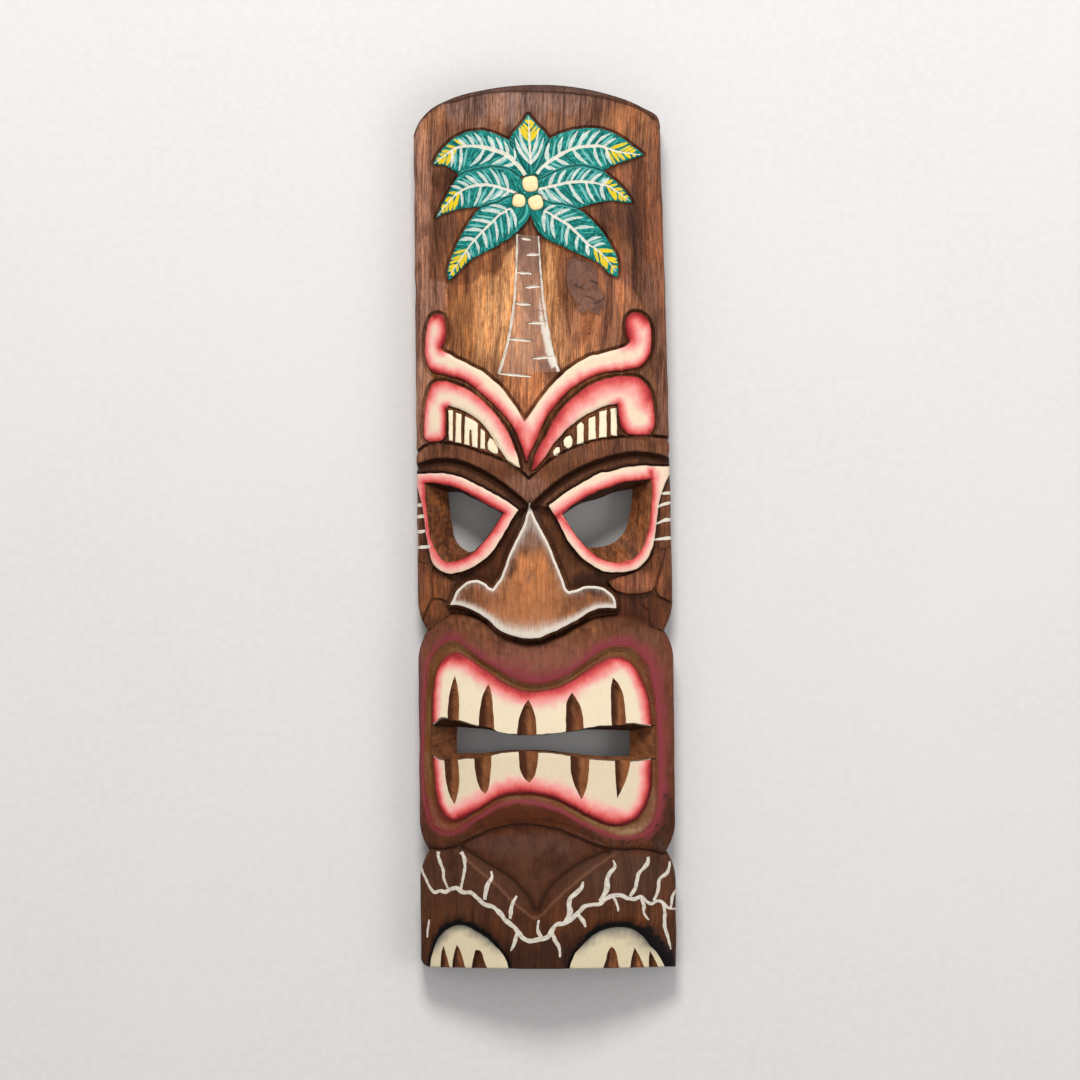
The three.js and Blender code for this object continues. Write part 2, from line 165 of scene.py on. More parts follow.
def linear(colour):
    """A #rrggbb colour as three linear numbers."""
    parts = np.array([int(colour[i:i + 2], 16) / 255 for i in (1, 3, 5)])
    return np.where(parts <= 0.04045, parts / 12.92, ((parts + 0.055) / 1.055) ** 2.4)


# Lines on the face


def millimetres(places):
    """Places in the picture as places on the mask."""
    p = np.asarray(places, float)
    return np.column_stack([(p[:, 0] - MIDDLE[0]) / PIXELS_PER_MM, (MIDDLE[1] - p[:, 1]) / PIXELS_PER_MM])


def turns(p):
    """How sharply a closed line turns at each of its points, in degrees."""
    before = p - np.roll(p, 1, 0)
    after = np.roll(p, -1, 0) - p
    cross = before[:, 0] * after[:, 1] - before[:, 1] * after[:, 0]
    return np.degrees(np.abs(np.arctan2(cross, (before * after).sum(1))))


def even(points, spacing):
    """Points at even steps along a line."""
    steps = np.hypot(*np.diff(points, axis=0).T)
    passed = np.concatenate([[0], np.cumsum(steps)])
    count = max(int(round(passed[-1] / spacing)), 1) + 1
    at = np.linspace(0, passed[-1], count)
    return np.column_stack([np.interp(at, passed, points[:, axis]) for axis in (0, 1)])


def smooth(p, spacing=FINE, wrap=False):
    """Evenly spaced points along a smooth curve through places."""
    if wrap:
        p = np.vstack([p[-2:], p, p[:3]])
    if len(p) < 3:
        return even(p, spacing)
    gaps = np.maximum(np.hypot(*np.diff(p, axis=0).T), 1e-6)[:, None]
    slopes = np.diff(p, axis=0) / gaps
    tangents = np.empty_like(p)
    tangents[1:-1] = (slopes[1:] * gaps[:-1] + slopes[:-1] * gaps[1:]) / (gaps[:-1] + gaps[1:])
    tangents[0] = 1.5 * slopes[0] - 0.5 * tangents[1]
    tangents[-1] = 1.5 * slopes[-1] - 0.5 * tangents[-2]
    t = np.linspace(0, 1, 12, endpoint=False)[None, :, None]
    a, b = p[:-1, None], p[1:, None]
    ta, tb = (tangents[:-1] * gaps)[:, None], (tangents[1:] * gaps)[:, None]
    curve = (2 * t**3 - 3 * t**2 + 1) * a + (t**3 - 2 * t**2 + t) * ta
    curve = curve + (3 * t**2 - 2 * t**3) * b + (t**3 - t**2) * tb
    if wrap:
        return even(np.vstack([curve[2:-2].reshape(-1, 2), p[-3:-2]]), spacing)[:-1]
    return even(np.vstack([curve.reshape(-1, 2), p[-1:]]), spacing)


def by_hand(line):
    """The line a little unsteady, as cut and painted by hand."""
    return line + 0.11 * np.column_stack([ripple(line, 7, 31), ripple(line, 7, 32)])


def path(places, spacing=FINE):
    return by_hand(smooth(millimetres(places), spacing))


def ring(places, corner=50.0, spacing=FINE):
    """A closed outline, anticlockwise, smooth apart from its sharp turns."""
    p = millimetres(places)
    if (p[:, 0] * np.roll(p[:, 1], -1) - p[:, 1] * np.roll(p[:, 0], -1)).sum() < 0:
        p = p[::-1]
    corners = np.flatnonzero(turns(p) > corner)
    if len(corners) == 0:
        return by_hand(smooth(p, spacing, wrap=True))
    p = np.roll(p, -corners[0], axis=0)
    stops = [*(corners - corners[0]), len(p)]
    p = np.vstack([p, p[:1]])
    sides = [smooth(p[a:b + 1], spacing)[:-1] for a, b in zip(stops, stops[1:])]
    return by_hand(np.vstack(sides))


def nearest(p, line, closed):
    """How far each place is from a line, and where along the line's points the nearest place is."""
    a = line if closed else line[:-1]
    d = (np.roll(line, -1, 0) if closed else line[1:]) - a
    length = np.maximum((d * d).sum(1), 1e-12)
    away, where = np.empty(len(p)), np.empty(len(p))
    size = max(1, BATCH // len(a))
    for start in range(0, len(p), size):
        q = p[start:start + size, None] - a[None]
        t = hold((q * d).sum(2) / length)
        q -= t[..., None] * d
        squares = (q * q).sum(2)
        best = squares.argmin(1)
        rows = np.arange(len(best))
        away[start:start + size] = np.sqrt(squares[rows, best])
        where[start:start + size] = best + t[rows, best]
    return away, where


def inside(p, outline):
    a, b = outline, np.roll(outline, -1, 0)
    rise = np.where(b[:, 1] == a[:, 1], 1e-12, b[:, 1] - a[:, 1])
    result = np.zeros(len(p), bool)
    size = max(1, BATCH // len(a))
    for start in range(0, len(p), size):
        x, y = p[start:start + size, 0, None], p[start:start + size, 1, None]
        spans = (a[:, 1] > y) != (b[:, 1] > y)
        left = x < a[:, 0] + (y - a[:, 1]) * (b[:, 0] - a[:, 0]) / rise
        result[start:start + size] = (spans & left).sum(1) % 2 == 1
    return result


def near(p, line, reach):
    """Which places lie in a line's box, drawn out by reach."""
    low, high = line.min(0) - reach, line.max(0) + reach
    return ((p >= low) & (p <= high)).all(1)


def depth_in(p, outline, reach=9.0):
    """How far inside an outline each place is: 0 on it, and outside negative and no less than -reach."""
    result = np.full(len(p), -reach)
    pick = near(p, outline, reach)
    if pick.any():
        away, _ = nearest(p[pick], outline, closed=True)
        away = np.where(away < ON_LINE, 0, away)
        result[pick] = np.where(inside(p[pick], outline), away, np.maximum(-away, -reach))
    return result


def away_from(p, line, reach=9.0):
    """How far each place is from an open line, up to reach."""
    result = np.full(len(p), reach)
    pick = near(p, line, reach)
    if pick.any():
        result[pick] = np.minimum(nearest(p[pick], line, closed=False)[0], reach)
    return result


def along(line, where):
    """The places that lie this many points along a line."""
    steps = np.arange(len(line))
    return np.column_stack([np.interp(where, steps, line[:, axis]) for axis in (0, 1)])


def beside(line, distance, closed=True):
    """The line moved sideways: outwards from an anticlockwise outline, to the right of an open line."""
    if closed:
        line = np.vstack([line[-1:], line, line[:1]])
    steps = np.diff(line, axis=0)
    steps /= np.maximum(np.hypot(*steps.T), 1e-9)[:, None]
    normals = np.column_stack([steps[:, 1], -steps[:, 0]])
    points = []
    for i in range(1, len(line) - 1):
        before, after = normals[i - 1], normals[i]
        shares = (0, 0.34, 0.67, 1) if before @ after < 0.9 else (0.5,)
        for share in shares:
            n = before * (1 - share) + after * share
            points.append(line[i] + distance * n / max(np.hypot(*n), 1e-6))
    if not closed:
        points = [line[0] + distance * normals[0], *points, line[-1] + distance * normals[-1]]
    points = np.array(points)
    source = line[1:-1] if closed else line
    clear = nearest(points, source, closed)[0] > abs(distance) * 0.96
    return points[clear]


def ribbon(line, widths):
    """The outline of a brush stroke along a line, as wide at each share of its length as widths says."""
    steps = np.gradient(line, axis=0)
    steps /= np.maximum(np.hypot(*steps.T), 1e-9)[:, None]
    share = np.linspace(0, 1, len(line))
    half = np.interp(share, np.linspace(0, 1, len(widths)), widths)[:, None] / 2
    half = half * (1 + 0.16 * ripple(line, 5, 33))[:, None]
    across = np.column_stack([-steps[:, 1], steps[:, 0]]) * half
    return np.vstack([line - across, (line + across)[::-1]])


def ripple(p, size, seed):
    """Smooth random waves from about -1 to 1."""
    rng = np.random.default_rng(seed)
    total = np.zeros(len(p))
    for _ in range(7):
        angle, phase = rng.uniform(0, 2 * np.pi, 2)
        pace = 2 * np.pi / size * rng.uniform(0.6, 1.7)
        total += np.sin(pace * (p[:, 0] * np.cos(angle) + p[:, 1] * np.sin(angle)) + phase)
    return total / 3.2


def hold(x):
    """The value, held between 0 and 1."""
    return np.clip(x, 0, 1)


def fade(x):
    """0 below 0, 1 above 1, and smooth in between."""
    x = hold(x)
    return x * x * (3 - 2 * x)


def below(p, level, width):
    """0 above a level of the mask, and 1 from width below it on."""
    return fade((level - p[:, 1]) / width)


def right_of(p, level, width):
    """0 to the left of a level, and 1 from width to its right on."""
    return fade((p[:, 0] - level) / width)


def hump(x, middle, width):
    """1 at the middle, and less and less on both sides."""
    return np.exp(-(((x - middle) / width) ** 2))


# The board's own shape


def face_at(x):
    """Height of the rounded front."""
    return FACE_HEIGHT - FACE_RADIUS + np.sqrt(FACE_RADIUS**2 - x**2)


def side_x(y, side):
    share = (y + TOP) / (SHOULDER + TOP)
    if side < 0:
        x = LEFT_FOOT + (LEFT_SHOULDER - LEFT_FOOT) * share
    else:
        x = RIGHT_FOOT + (RIGHT_SHOULDER - RIGHT_FOOT) * share
        x = x + RIGHT_BOW * np.sin(np.pi * hold(share))
    drawn_in = np.zeros_like(y)
    for waist in WAISTS:
        drawn_in += WAIST_DEPTH * (1 - hold(np.abs(y - waist) / WAIST_REACH)) ** 2
    for notch_side, notch in NOTCHES:
        if notch_side == side:
            middle = (MIDDLE[1] - notch) / PIXELS_PER_MM
            drawn_in += NOTCH_DEPTH * hump(y, middle, NOTCH_REACH)
    uneven = 0.16 * (1 + ripple(np.column_stack([y, y * 0]), 31.0, 5 + side))
    return x - side * (drawn_in + uneven)


def board_outline():
    """The outline of the board, and how wide the rounding or the bevel of its edge is at each point."""
    crown = smooth(np.array(CROWN), FINE)
    count = int((SHOULDER + TOP) / FINE)
    up = np.linspace(-TOP, CROWN[0][1], count)[:-1]
    down = np.linspace(CROWN[-1][1], -TOP + FOOT_CORNER, count)[1:]
    right = np.column_stack([side_x(up, 1), up])
    left = np.column_stack([side_x(down, -1), down])
    angles = np.linspace(0, np.pi / 2, 8)[1:]
    middle = left[-1] + (FOOT_CORNER, 0)
    corner = middle + FOOT_CORNER * np.column_stack([-np.cos(angles), -np.sin(angles)])
    feet = even(np.vstack([corner[-1], right[0]]), FINE)[1:-1]
    outline = np.vstack([right, crown, left, corner, feet])
    x = crown[:, 0]
    bevel = 1.7 + 2.9 * hump(x, -6, 31)
    widths = np.full(len(outline), EDGE_ROUNDING)
    widths[len(right):len(right) + len(crown)] = bevel
    widths[-len(feet) - len(corner):] = 1.0
    is_crown = np.zeros(len(outline))
    is_crown[len(right) + 8:len(right) + len(crown) - 8] = 1
    return outline, widths, is_crown


BOARD, BOARD_EDGE, BOARD_CROWN = board_outline()
CROWN_LINE = smooth(np.array(CROWN), FINE)


def edge_height(p, z):
    """The front's height with the rounded sides and the bevelled crown."""
    pick = (np.abs(p[:, 0]) > 54) | (p[:, 1] > 214) | (p[:, 1] < -TOP + 6)
    away, where = nearest(p[pick], BOARD, closed=True)
    wrap = np.append(np.arange(len(BOARD)), 0)
    width = np.interp(where, np.arange(len(wrap)), BOARD_EDGE[wrap])
    crown = np.interp(where, np.arange(len(wrap)), BOARD_CROWN[wrap])
    share = hold(away / width)
    rounded = z[pick] - width.clip(0, EDGE_ROUNDING) * (1 - np.sqrt(1 - (1 - share) ** 2))
    foot = np.minimum(BEVEL_FOOT, z[pick] - EDGE_ROUNDING)
    bevelled = foot + (z[pick] - foot) * share**0.85
    result = z.copy()
    result[pick] = rounded * (1 - crown) + bevelled * crown
    return result


def hollow_height(p):
    """Height of the hollow's ceiling, 0 on the rim."""
    across = np.abs(p[:, 0]) / HOLLOW_HALF_WIDTH
    ahead = np.abs(p[:, 1] - HOLLOW_MIDDLE) / HOLLOW_HALF_LENGTH
    plan = 1 - across**HOLLOW_PLAN_ROUNDNESS - ahead**HOLLOW_PLAN_ROUNDNESS
    vault = HOLLOW_HEIGHT * hold(1 - across**HOLLOW_ROUNDNESS) ** (1 / HOLLOW_ROUNDNESS)
    ends = HOLLOW_HEIGHT * hold(1 - ahead**HOLLOW_END_ROUNDNESS) ** (1 / HOLLOW_END_ROUNDNESS)
    z = np.minimum(vault, ends) * fade(plan * 9)
    gouges = 0.35 * (np.abs(np.sin(p[:, 0] / 4.1 + 0.6 * ripple(p, 60, 3))) - 0.6)
    gouges = gouges * (1 + 0.5 * ripple(p, 22, 4))
    return np.where(plan > 0, np.clip(z - 0.4 + gouges * fade(z / 5), 0, None), 0)


# What is carved and painted

LINES = []  # the lines that the mesh follows, each with whether it is closed
CUTS = []  # functions that give the depth cut at each place
# The dark stains below also hold painted shade, such as on the crown's bevel.
STAINS_AND_SHADES = []  # dark stain: line, whether it is closed, reach, how far it fades, strength
PAINTS = []  # painted patches from the lowest up


def follow(line, closed=False):
    if len(line) > 1:
        LINES.append((line, closed))


def follow_beside(line, distances, closed=True):
    """Follows the lines at these distances beside a line, where 0 is the line itself."""
    for distance in distances:
        follow(beside(line, distance, closed) if distance else line, closed)


def stain_and_shade(line, reach, fading, strength, closed=True):
    """Darkens the wood up to reach from a line, and from there on less and less."""
    STAINS_AND_SHADES.append((line, closed, reach, fading, strength))


def groove(line, width, depth, strength=0.88, fading=0.5):
    """Cuts a V along a line."""
    follow_beside(line, (0, width / 2, -width / 2), closed=False)
    CUTS.append(lambda p: depth * hold(1 - away_from(p, line) / (width / 2)))
    stain_and_shade(line, width * 0.25, fading, strength, closed=False)


def groove_walls(inner, low, width):
    """The share of its depth of a V outside an outline, which is deepest at low and ends at width."""
    wall = np.where(-inner < low, -inner / low, (width + inner) / (width - low))
    return hold(wall) * (inner < 0)


def raised(z, level, inner, share):
    """Heights with a raised part: level inside its outline, and outside it a share of the way up."""
    return np.where(inner >= 0, level, np.where(level > z, z + (level - z) * share, z))


def share_across(outer, inner):
    """How far across the band between two outlines each place is, from how far inside each one it is."""
    passed, left = np.clip(outer, 0, None), np.clip(-inner, 0, None)
    return passed / np.maximum(passed + left, 1e-6)


def outer_groove(outline, width, depth, rounding=0.7, strength=1.0):
    """Cuts a V round the outside of an outline, whose own edge is rounded."""
    low = width * 0.45
    follow_beside(outline, (0, low, width, -1.4 * rounding))

    def cut(p):
        inner = depth_in(p, outline)
        edge = rounding * hold(1 - inner / (1.4 * rounding)) ** 2 * (inner >= 0)
        return np.maximum(depth * groove_walls(inner, low, width), edge)

    CUTS.append(cut)
    stain_and_shade(outline, 0.15, 0.3, 0.85 * strength)
    stain_and_shade(beside(outline, width * 0.5), width * 0.25, 0.6, 0.15 * strength)
    stain_and_shade(beside(outline, width), 0.1, 0.35, 0.6 * strength)


def paint(outline, colour, cover=1.0, blush=None, leaf=None, dry=0.0, crisp=True):
    """Lays paint inside an outline. cover is one number, or a function of places as blush and leaf are."""
    if crisp:
        follow(outline, closed=True)
    PAINTS.append({
        "outline": outline, "colour": linear(colour), "cover": cover, "blush": blush, "leaf": leaf,
        "dry": dry,
    })


def stroke(places, widths, colour, spacing=0.7, **how):
    """Paints a brush stroke along places in the picture."""
    paint(ribbon(path(places, spacing), widths), colour, **how)


def patchy(level, amount, size, seed):
    """A cover that varies round a level."""
    return lambda p: level + amount * ripple(p, size, seed)


def blush(lines):
    """How red the paint is at each place, from (places, reach in mm, strength)."""
    made = [(path(places), reach * BLUSH_REACH, strength) for places, reach, strength in lines]

    def amount(p):
        uneven = 1 + 0.1 * ripple(p, 11, 11)
        deeper = 1 + 0.1 * ripple(p, 24, 12)
        total = np.zeros(len(p))
        for line, reach, strength in made:
            share = hold(1 - away_from(p, line, 1.3 * reach) / (reach * uneven))
            total = np.maximum(total, strength * (0.3 * share + 0.7 * share**2))
        return total * deeper

    return amount


# The stripes like horns on the forehead

UPPER_HORNS = [
    (433.5, 315.5), (428, 324), (426, 333), (425, 343), (424.5, 352), (428, 366), (431, 371), (445, 375.5),
    (463, 381), (486, 398), (518, 437), (522, 448), (526.5, 463), (530.5, 453), (537, 440), (545, 421),
    (557, 405), (573, 388.5), (592, 378), (602, 374), (625, 371), (641, 367), (649, 357), (651.5, 340),
    (650.5, 328), (648, 321), (637, 313.3), (632, 314), (628, 317.5), (625.5, 330), (630, 343),
    (625, 347.5), (617, 350.5), (608, 353), (600, 355.5), (592, 357), (576, 365.5), (538, 404), (530, 416),
    (524.5, 423), (515, 407), (509, 399), (504, 392), (490, 379), (482, 372.5), (473, 368), (465, 363.5),
    (457, 360), (450, 355.5), (443, 352), (441, 350), (444, 345), (446, 330), (443.5, 318.5),
    (440.5, 315.3), (437, 314.5),
]
UPPER_BLUSH = [
    ([(434, 316), (440, 316), (444.5, 322), (442, 348)], 4.4, 1.05),
    ([(433, 316), (427, 328), (425, 345), (426, 360), (431, 371)], 3.4, 0.72),
    ([(431, 371), (445, 375.5), (463, 381), (475, 388)], 4.2, 1.0),
    ([(475, 388), (512, 426), (519, 440)], 3.7, 0.74),
    ([(516, 432), (522, 448), (526.5, 463), (537, 440)], 7.5, 0.85),
    ([(527, 462), (541, 430), (551, 412), (582, 383)], 4.4, 0.95),
    ([(582, 383), (602, 374), (625, 371), (641, 367), (649, 357)], 3.5, 0.95),
    ([(649, 357), (651.5, 340), (648, 321), (637, 313.3)], 3.6, 0.8),
    ([(647, 319), (637, 313.3), (628, 317.5), (628, 339)], 6.4, 1.1),
]
LEFT_HOOK = [
    (428.5, 442), (425, 439.5), (423.8, 434), (424, 425), (428.5, 393), (431, 387), (435, 383), (441, 382),
    (457, 386), (482, 401), (489, 408), (511, 440), (514, 448), (517.5, 457), (520, 469), (508.5, 463),
    (503, 455), (492, 438), (486, 429), (463, 411.5), (448, 406.5), (445.5, 412), (446, 420), (445.5, 430),
    (444.8, 438), (441, 441.5), (434, 442.5),
]
LEFT_HOOK_BLUSH = [
    ([(427, 396), (431, 387), (441, 382), (457, 386)], 5.0, 0.88),
    ([(457, 386), (474, 395), (502, 424), (514, 448)], 4.6, 0.7),
    ([(424, 441), (427, 398), (431, 387)], 3.0, 0.7), ([(424, 441), (445, 441)], 4.0, 0.75),
    ([(445.5, 408), (446, 420), (444.5, 441)], 2.8, 1.0),
]
RIGHT_HOOK = [
    (532, 471), (534, 460), (548, 433), (552, 424), (579, 394), (588, 387.5), (608, 379.5), (626, 377),
    (641, 380), (650, 391), (652.5, 400), (654, 410), (653.8, 429), (650, 434.5), (642, 436.3),
    (625.5, 433), (621, 427), (619.5, 420), (618.5, 415), (618, 405), (605, 407), (597, 410.5),
    (582, 418.5), (574, 424.5), (566, 431), (560, 438), (552, 447), (546, 457), (541, 463), (537, 468),
]
RIGHT_HOOK_BLUSH = [
    ([(600, 381), (618, 377.5), (634, 377.5), (646, 384.5), (652, 398)], 8.0, 1.0),
    ([(600, 381), (579, 394), (552, 424), (543, 442), (534, 460), (532, 470)], 8.0, 0.92),
    ([(652, 398), (655, 420), (653.8, 429)], 3.6, 0.88),
    ([(653.8, 429), (642, 436.3), (632, 436), (622, 429)], 4.2, 0.95),
    ([(618.5, 407), (619.5, 420), (625.5, 433)], 4.2, 1.0),
]
BARS = [
    [(448.5, 411), (453, 411.5), (452.5, 442), (449, 441.5)],
    [(456, 414), (461.5, 415.5), (461, 444), (455.5, 443)],
    [
        (465, 417.5), (470, 419.5), (478, 425), (477.5, 449), (472.5, 447.5), (471.5, 431), (469.5, 431),
        (469.2, 446.5), (464.5, 445.5),
    ],
    [(481, 430), (485, 433), (485, 450.5), (480.5, 449.5)],
    [(490, 439), (494, 442), (498, 449), (497.5, 455), (493, 454), (488, 450.5), (488, 444)],
    [(610.5, 410), (616.5, 409), (617, 437), (611, 436)],
    [(599.5, 413), (606.5, 411.5), (606.5, 438.5), (599, 439)],
    [(588.5, 420), (595, 417.5), (596, 440), (588.5, 441.5)],
    [(577, 427), (581, 423.5), (583.5, 426), (583.5, 444.5), (577, 445.5)],
    [(566, 438.5), (570, 437), (572, 440), (571.5, 447.5), (568, 450), (564, 447), (563.5, 442)],
    [(553, 453), (556, 449), (559.5, 448.5), (560, 453), (557.5, 457), (554, 457)],
]
BROW_LINES = [
    [
        (410, 457), (418, 452), (424, 447), (432, 444), (450, 444.5), (460, 446), (480, 452.5), (518, 470),
        (529, 480),
    ],
    [(529, 480), (540, 469), (600, 440.5), (615, 438.5), (655, 437), (678, 440)],
]
BROW_CHANNELS = [
    [(410, 473), (425, 465.5), (455, 463.5), (470, 468.5), (500, 485.5), (527, 508.5)],
    [(534, 507), (560, 484), (600, 463.5), (640, 456), (655, 458), (670, 462.5), (678, 465)],
]
BROW_CHANNEL_WIDTH = 4.2
BROW_CHANNEL_DEPTH = 3.4


def make_forehead_stripes():
    stripes = [(UPPER_HORNS, UPPER_BLUSH), (LEFT_HOOK, LEFT_HOOK_BLUSH), (RIGHT_HOOK, RIGHT_HOOK_BLUSH)]
    for places, red in stripes:
        outline = ring(places, corner=44)
        outer_groove(outline, 1.9, 1.9)
        paint(outline, CREAM, blush=blush(red))
    for places in BARS:
        outline = ring(places, corner=38)
        outer_groove(outline, 1.3, 0.8, rounding=0.3, strength=0.3)
        paint(outline, BAR)


CROWN_RIM = [
    (424, 117), (440, 104.5), (455, 102.5), (472, 97.5), (547, 94), (622, 104), (640, 110), (655, 120),
]


def make_crown():
    stain_and_shade(CROWN_LINE, 0.4, 0.5, 0.8, closed=False)
    rim = path(CROWN_RIM)
    follow(rim)
    CUTS.append(lambda p: 0.35 * hold(1 - away_from(p, rim) / 1.2))
    stain_and_shade(rim, 0.25, 0.45, 0.8, closed=False)
    stain_and_shade(rim, 0.2, 2.4, 0.25, closed=False)
    # Painted shade on the crown's bevel, just above the rim line
    stain_and_shade(rim + (0, 2.2), 0.9, 1.1, 0.5, closed=False)


def make_brow():
    for places in BROW_LINES:
        groove(path(places), 2.2, 2.0)
    half = BROW_CHANNEL_WIDTH / 2
    for places in BROW_CHANNELS:
        line = path(places)
        follow_beside(line, (0, -half, -half / 2, half / 2, half), closed=False)
        CUTS.append(lambda p, line=line: BROW_CHANNEL_DEPTH * hold(1 - (away_from(p, line) / half) ** 2))
        stain_and_shade(line, half * 0.8, 0.9, 0.9, closed=False)


# The eyes and the nose

LEFT_RIM_TOP = [(412, 475), (425, 474.5), (445, 474.5), (465, 480), (475, 485), (512, 506), (518.5, 511)]
LEFT_RIM_UNDER = [
    (518.5, 511), (514, 517), (506, 531), (487, 558), (455, 574), (449, 574.5), (432, 563), (430, 556),
    (426, 535), (422, 508), (419.5, 498), (416.5, 488), (412, 480),
]
RIGHT_RIM_TOP = [
    (548.5, 506.5), (555, 502), (562, 496.5), (590, 479.5), (600, 474), (612, 472.5), (622, 469),
    (632, 467.5), (642, 466.5), (655, 467), (676, 467),
]
RIGHT_RIM_UNDER = [
    (676, 467), (671.5, 472), (669, 477), (663, 490), (657, 520), (656, 530), (652, 550), (643, 565),
    (636, 570), (618, 573), (605, 572.5), (590, 564.5), (583, 559.5), (577, 553), (570, 544.5), (557, 520),
    (548.5, 506.5),
]
LIP_TOP = [
    (400, 640), (420, 634), (429, 631), (442, 621), (450.5, 617), (458, 617), (474, 619.5), (490, 628.5),
    (498, 634.5), (514, 643), (540, 645), (548, 642.5), (564, 637), (577, 629), (585, 625.5), (592, 622),
    (608, 619), (624, 617.5), (644, 624), (652, 628), (668, 633), (690, 638),
]
# Each hole has two sides in the front, from its outer corner to its inner one and back, and in the hollow.
LEFT_HOLE = [
    [(424, 484), (432, 483.5), (448, 486.5), (456, 488.5), (474, 497.5), (494, 509), (504, 514)],
    [
        (504, 514), (495, 528), (490, 536), (484, 543), (478, 550), (462, 560), (455, 562.5), (448, 563.5),
        (442, 561), (437, 554), (430, 538), (428.5, 528), (424, 484),
    ],
]
LEFT_HOLE_BACK = [
    [(448, 493), (463, 494), (470, 498), (480, 502.5), (502, 514.5)],
    [(502, 514.5), (481, 545), (475, 551), (470, 553), (464, 550.5), (454, 538), (452, 528), (448, 493)],
]
RIGHT_HOLE = [
    [
        (562, 515.5), (570, 508), (590, 496), (600, 491), (612, 487.5), (622, 483.5), (635, 481.5),
        (652, 480),
    ],
    [
        (652, 480), (652.5, 495), (651.5, 510), (648, 535), (645, 545), (640, 553), (634, 560), (626, 562),
        (617, 564), (608, 562.5), (578, 539.5), (567, 523), (562, 515.5),
    ],
]
RIGHT_HOLE_BACK = [
    [(562.5, 516), (580, 505), (602, 498.5), (612, 494), (633, 490)],
    [
        (633, 490), (629, 520), (626, 530), (612, 544.5), (603, 547.5), (586, 547), (580, 540.5),
        (562.5, 516),
    ],
]
LEFT_RIM_BLUSH = [
    ([(424, 484), (440, 484.5), (484, 503), (504, 514)], 3.9, 1.0),
    ([(504, 514), (495, 528), (470, 556), (455, 562.5)], 4.2, 0.85),
    ([(455, 562.5), (448, 563.5), (437, 554), (427, 515), (424, 484)], 4.4, 0.8),
]
RIGHT_RIM_BLUSH = [
    ([(556, 518), (590, 496), (635, 481.5), (652, 480)], 3.9, 0.95),
    ([(651, 473), (653, 495), (651.5, 510), (648, 535), (640, 553)], 2.8, 0.9),
    ([(640, 553), (634, 560), (600, 559), (572, 531), (558, 515)], 3.2, 0.78),
]
NOSE_SIDES = [
    (530, 508), (527, 515), (524, 525), (519, 535), (509.5, 555), (503, 573), (500, 580), (497, 584),
    (493, 589.5), (489, 588), (486, 585), (474, 581), (468, 582.5), (463, 586), (457, 591.5), (454, 598),
    (450.5, 606),
]
NOSE_FOOT = [
    (450.5, 606), (458, 606), (472, 610.5), (488, 620), (500, 631), (508, 634.5), (532, 639), (540, 638),
    (547, 635), (562, 628.5), (570, 624), (578, 620), (586, 614.5), (594, 610.5), (616, 609),
]
NOSE_RIGHT = [
    (616, 609), (615, 600), (607, 591), (584, 587.5), (576, 590.5), (569, 592.5), (566, 589), (563, 581),
    (555.5, 562), (546.5, 540), (536, 521), (532, 512),
]
BETWEEN_EYES = [(523.5, 508), (528.5, 506)]
FACE_LEFT, FACE_RIGHT = (400, 475), (690, 467)
NOSE_BRIDGE = [(528.5, 512), (529.2, 508), (529.6, 504.5)]
# The hollows of the cheeks that a knife left flat: outline, depth, and slope across and along.
CHEEKS = [
    (
        [(405, 560), (434, 566), (431, 580), (432, 592), (430.5, 602), (424, 614), (405, 620)], 3.5, -0.05,
        0.0,
    ),
    (
        [
            (438, 569), (447, 578), (456, 583), (453, 593), (447, 603), (440, 600), (432, 600), (433, 590),
            (432, 580),
        ],
        4.5, 0.06, 0.05,
    ),
    (
        [
            (432, 601), (440, 601), (447, 604), (452, 611), (449, 617), (441, 621), (431, 629), (419, 634),
            (425, 614),
        ],
        5.0, 0.05, -0.05,
    ),
    (
        [
            (607, 582), (613, 590), (635, 595.5), (653.5, 592), (659, 574), (662, 566), (666, 550),
            (656, 550), (643, 567), (634, 573), (620, 577.5),
        ],
        3.2, 0.03, 0.03,
    ),
    ([(667, 548), (690, 548), (690, 606), (673, 603), (659, 596.5), (656, 592)], 3.0, 0.05, 0.0),
    (
        [
            (640, 604), (649, 597), (660, 598), (673, 604), (690, 608), (690, 636), (664, 633), (650, 625),
            (649, 612),
        ],
        4.4, -0.05, 0.04,
    ),
]
SIDE_TICKS = [
    [(413, 506), (421.5, 506)], [(413, 518), (424, 517)], [(413, 533), (425, 532)],
    [(413, 549), (430, 547.5)], [(660.5, 494.5), (675, 493.5)],
    [(657.5, 508.5), (663, 505.5), (675, 503.5)], [(656, 525), (663, 522), (675, 520)],
    [(653.5, 541), (664, 539.5), (675, 539)],
]


def face_ring():
    """The outline of the face cut down round the eyes and the nose."""
    top = [*LEFT_RIM_TOP, *BETWEEN_EYES, *RIGHT_RIM_TOP]
    return ring([*top, FACE_RIGHT, *LIP_TOP[::-1], FACE_LEFT], corner=44)


FACE = face_ring()
RIMS = [ring(LEFT_RIM_TOP + LEFT_RIM_UNDER[1:], 44), ring(RIGHT_RIM_TOP + RIGHT_RIM_UNDER[1:], 44)]
NOSE = ring(NOSE_SIDES + NOSE_FOOT[1:] + NOSE_RIGHT[1:], 46)
NOSE_FOOT_LINE = path(NOSE_FOOT)
FLATS = [(ring(places, 40), *slopes) for places, *slopes in CHEEKS]


def sides_of(front, back):
    """Two outlines of a hole, in the front and in the hollow, with as many points each, anticlockwise."""
    outer, inner = [], []
    for places, back_places in zip(front, back):
        line = path(places)
        outer.append(line[:-1])
        dense = smooth(millimetres(back_places), 0.2)
        inner.append(along(dense, np.linspace(0, len(dense) - 1, len(line))[:-1]))
    return np.vstack(outer)[::-1], np.vstack(inner)[::-1]


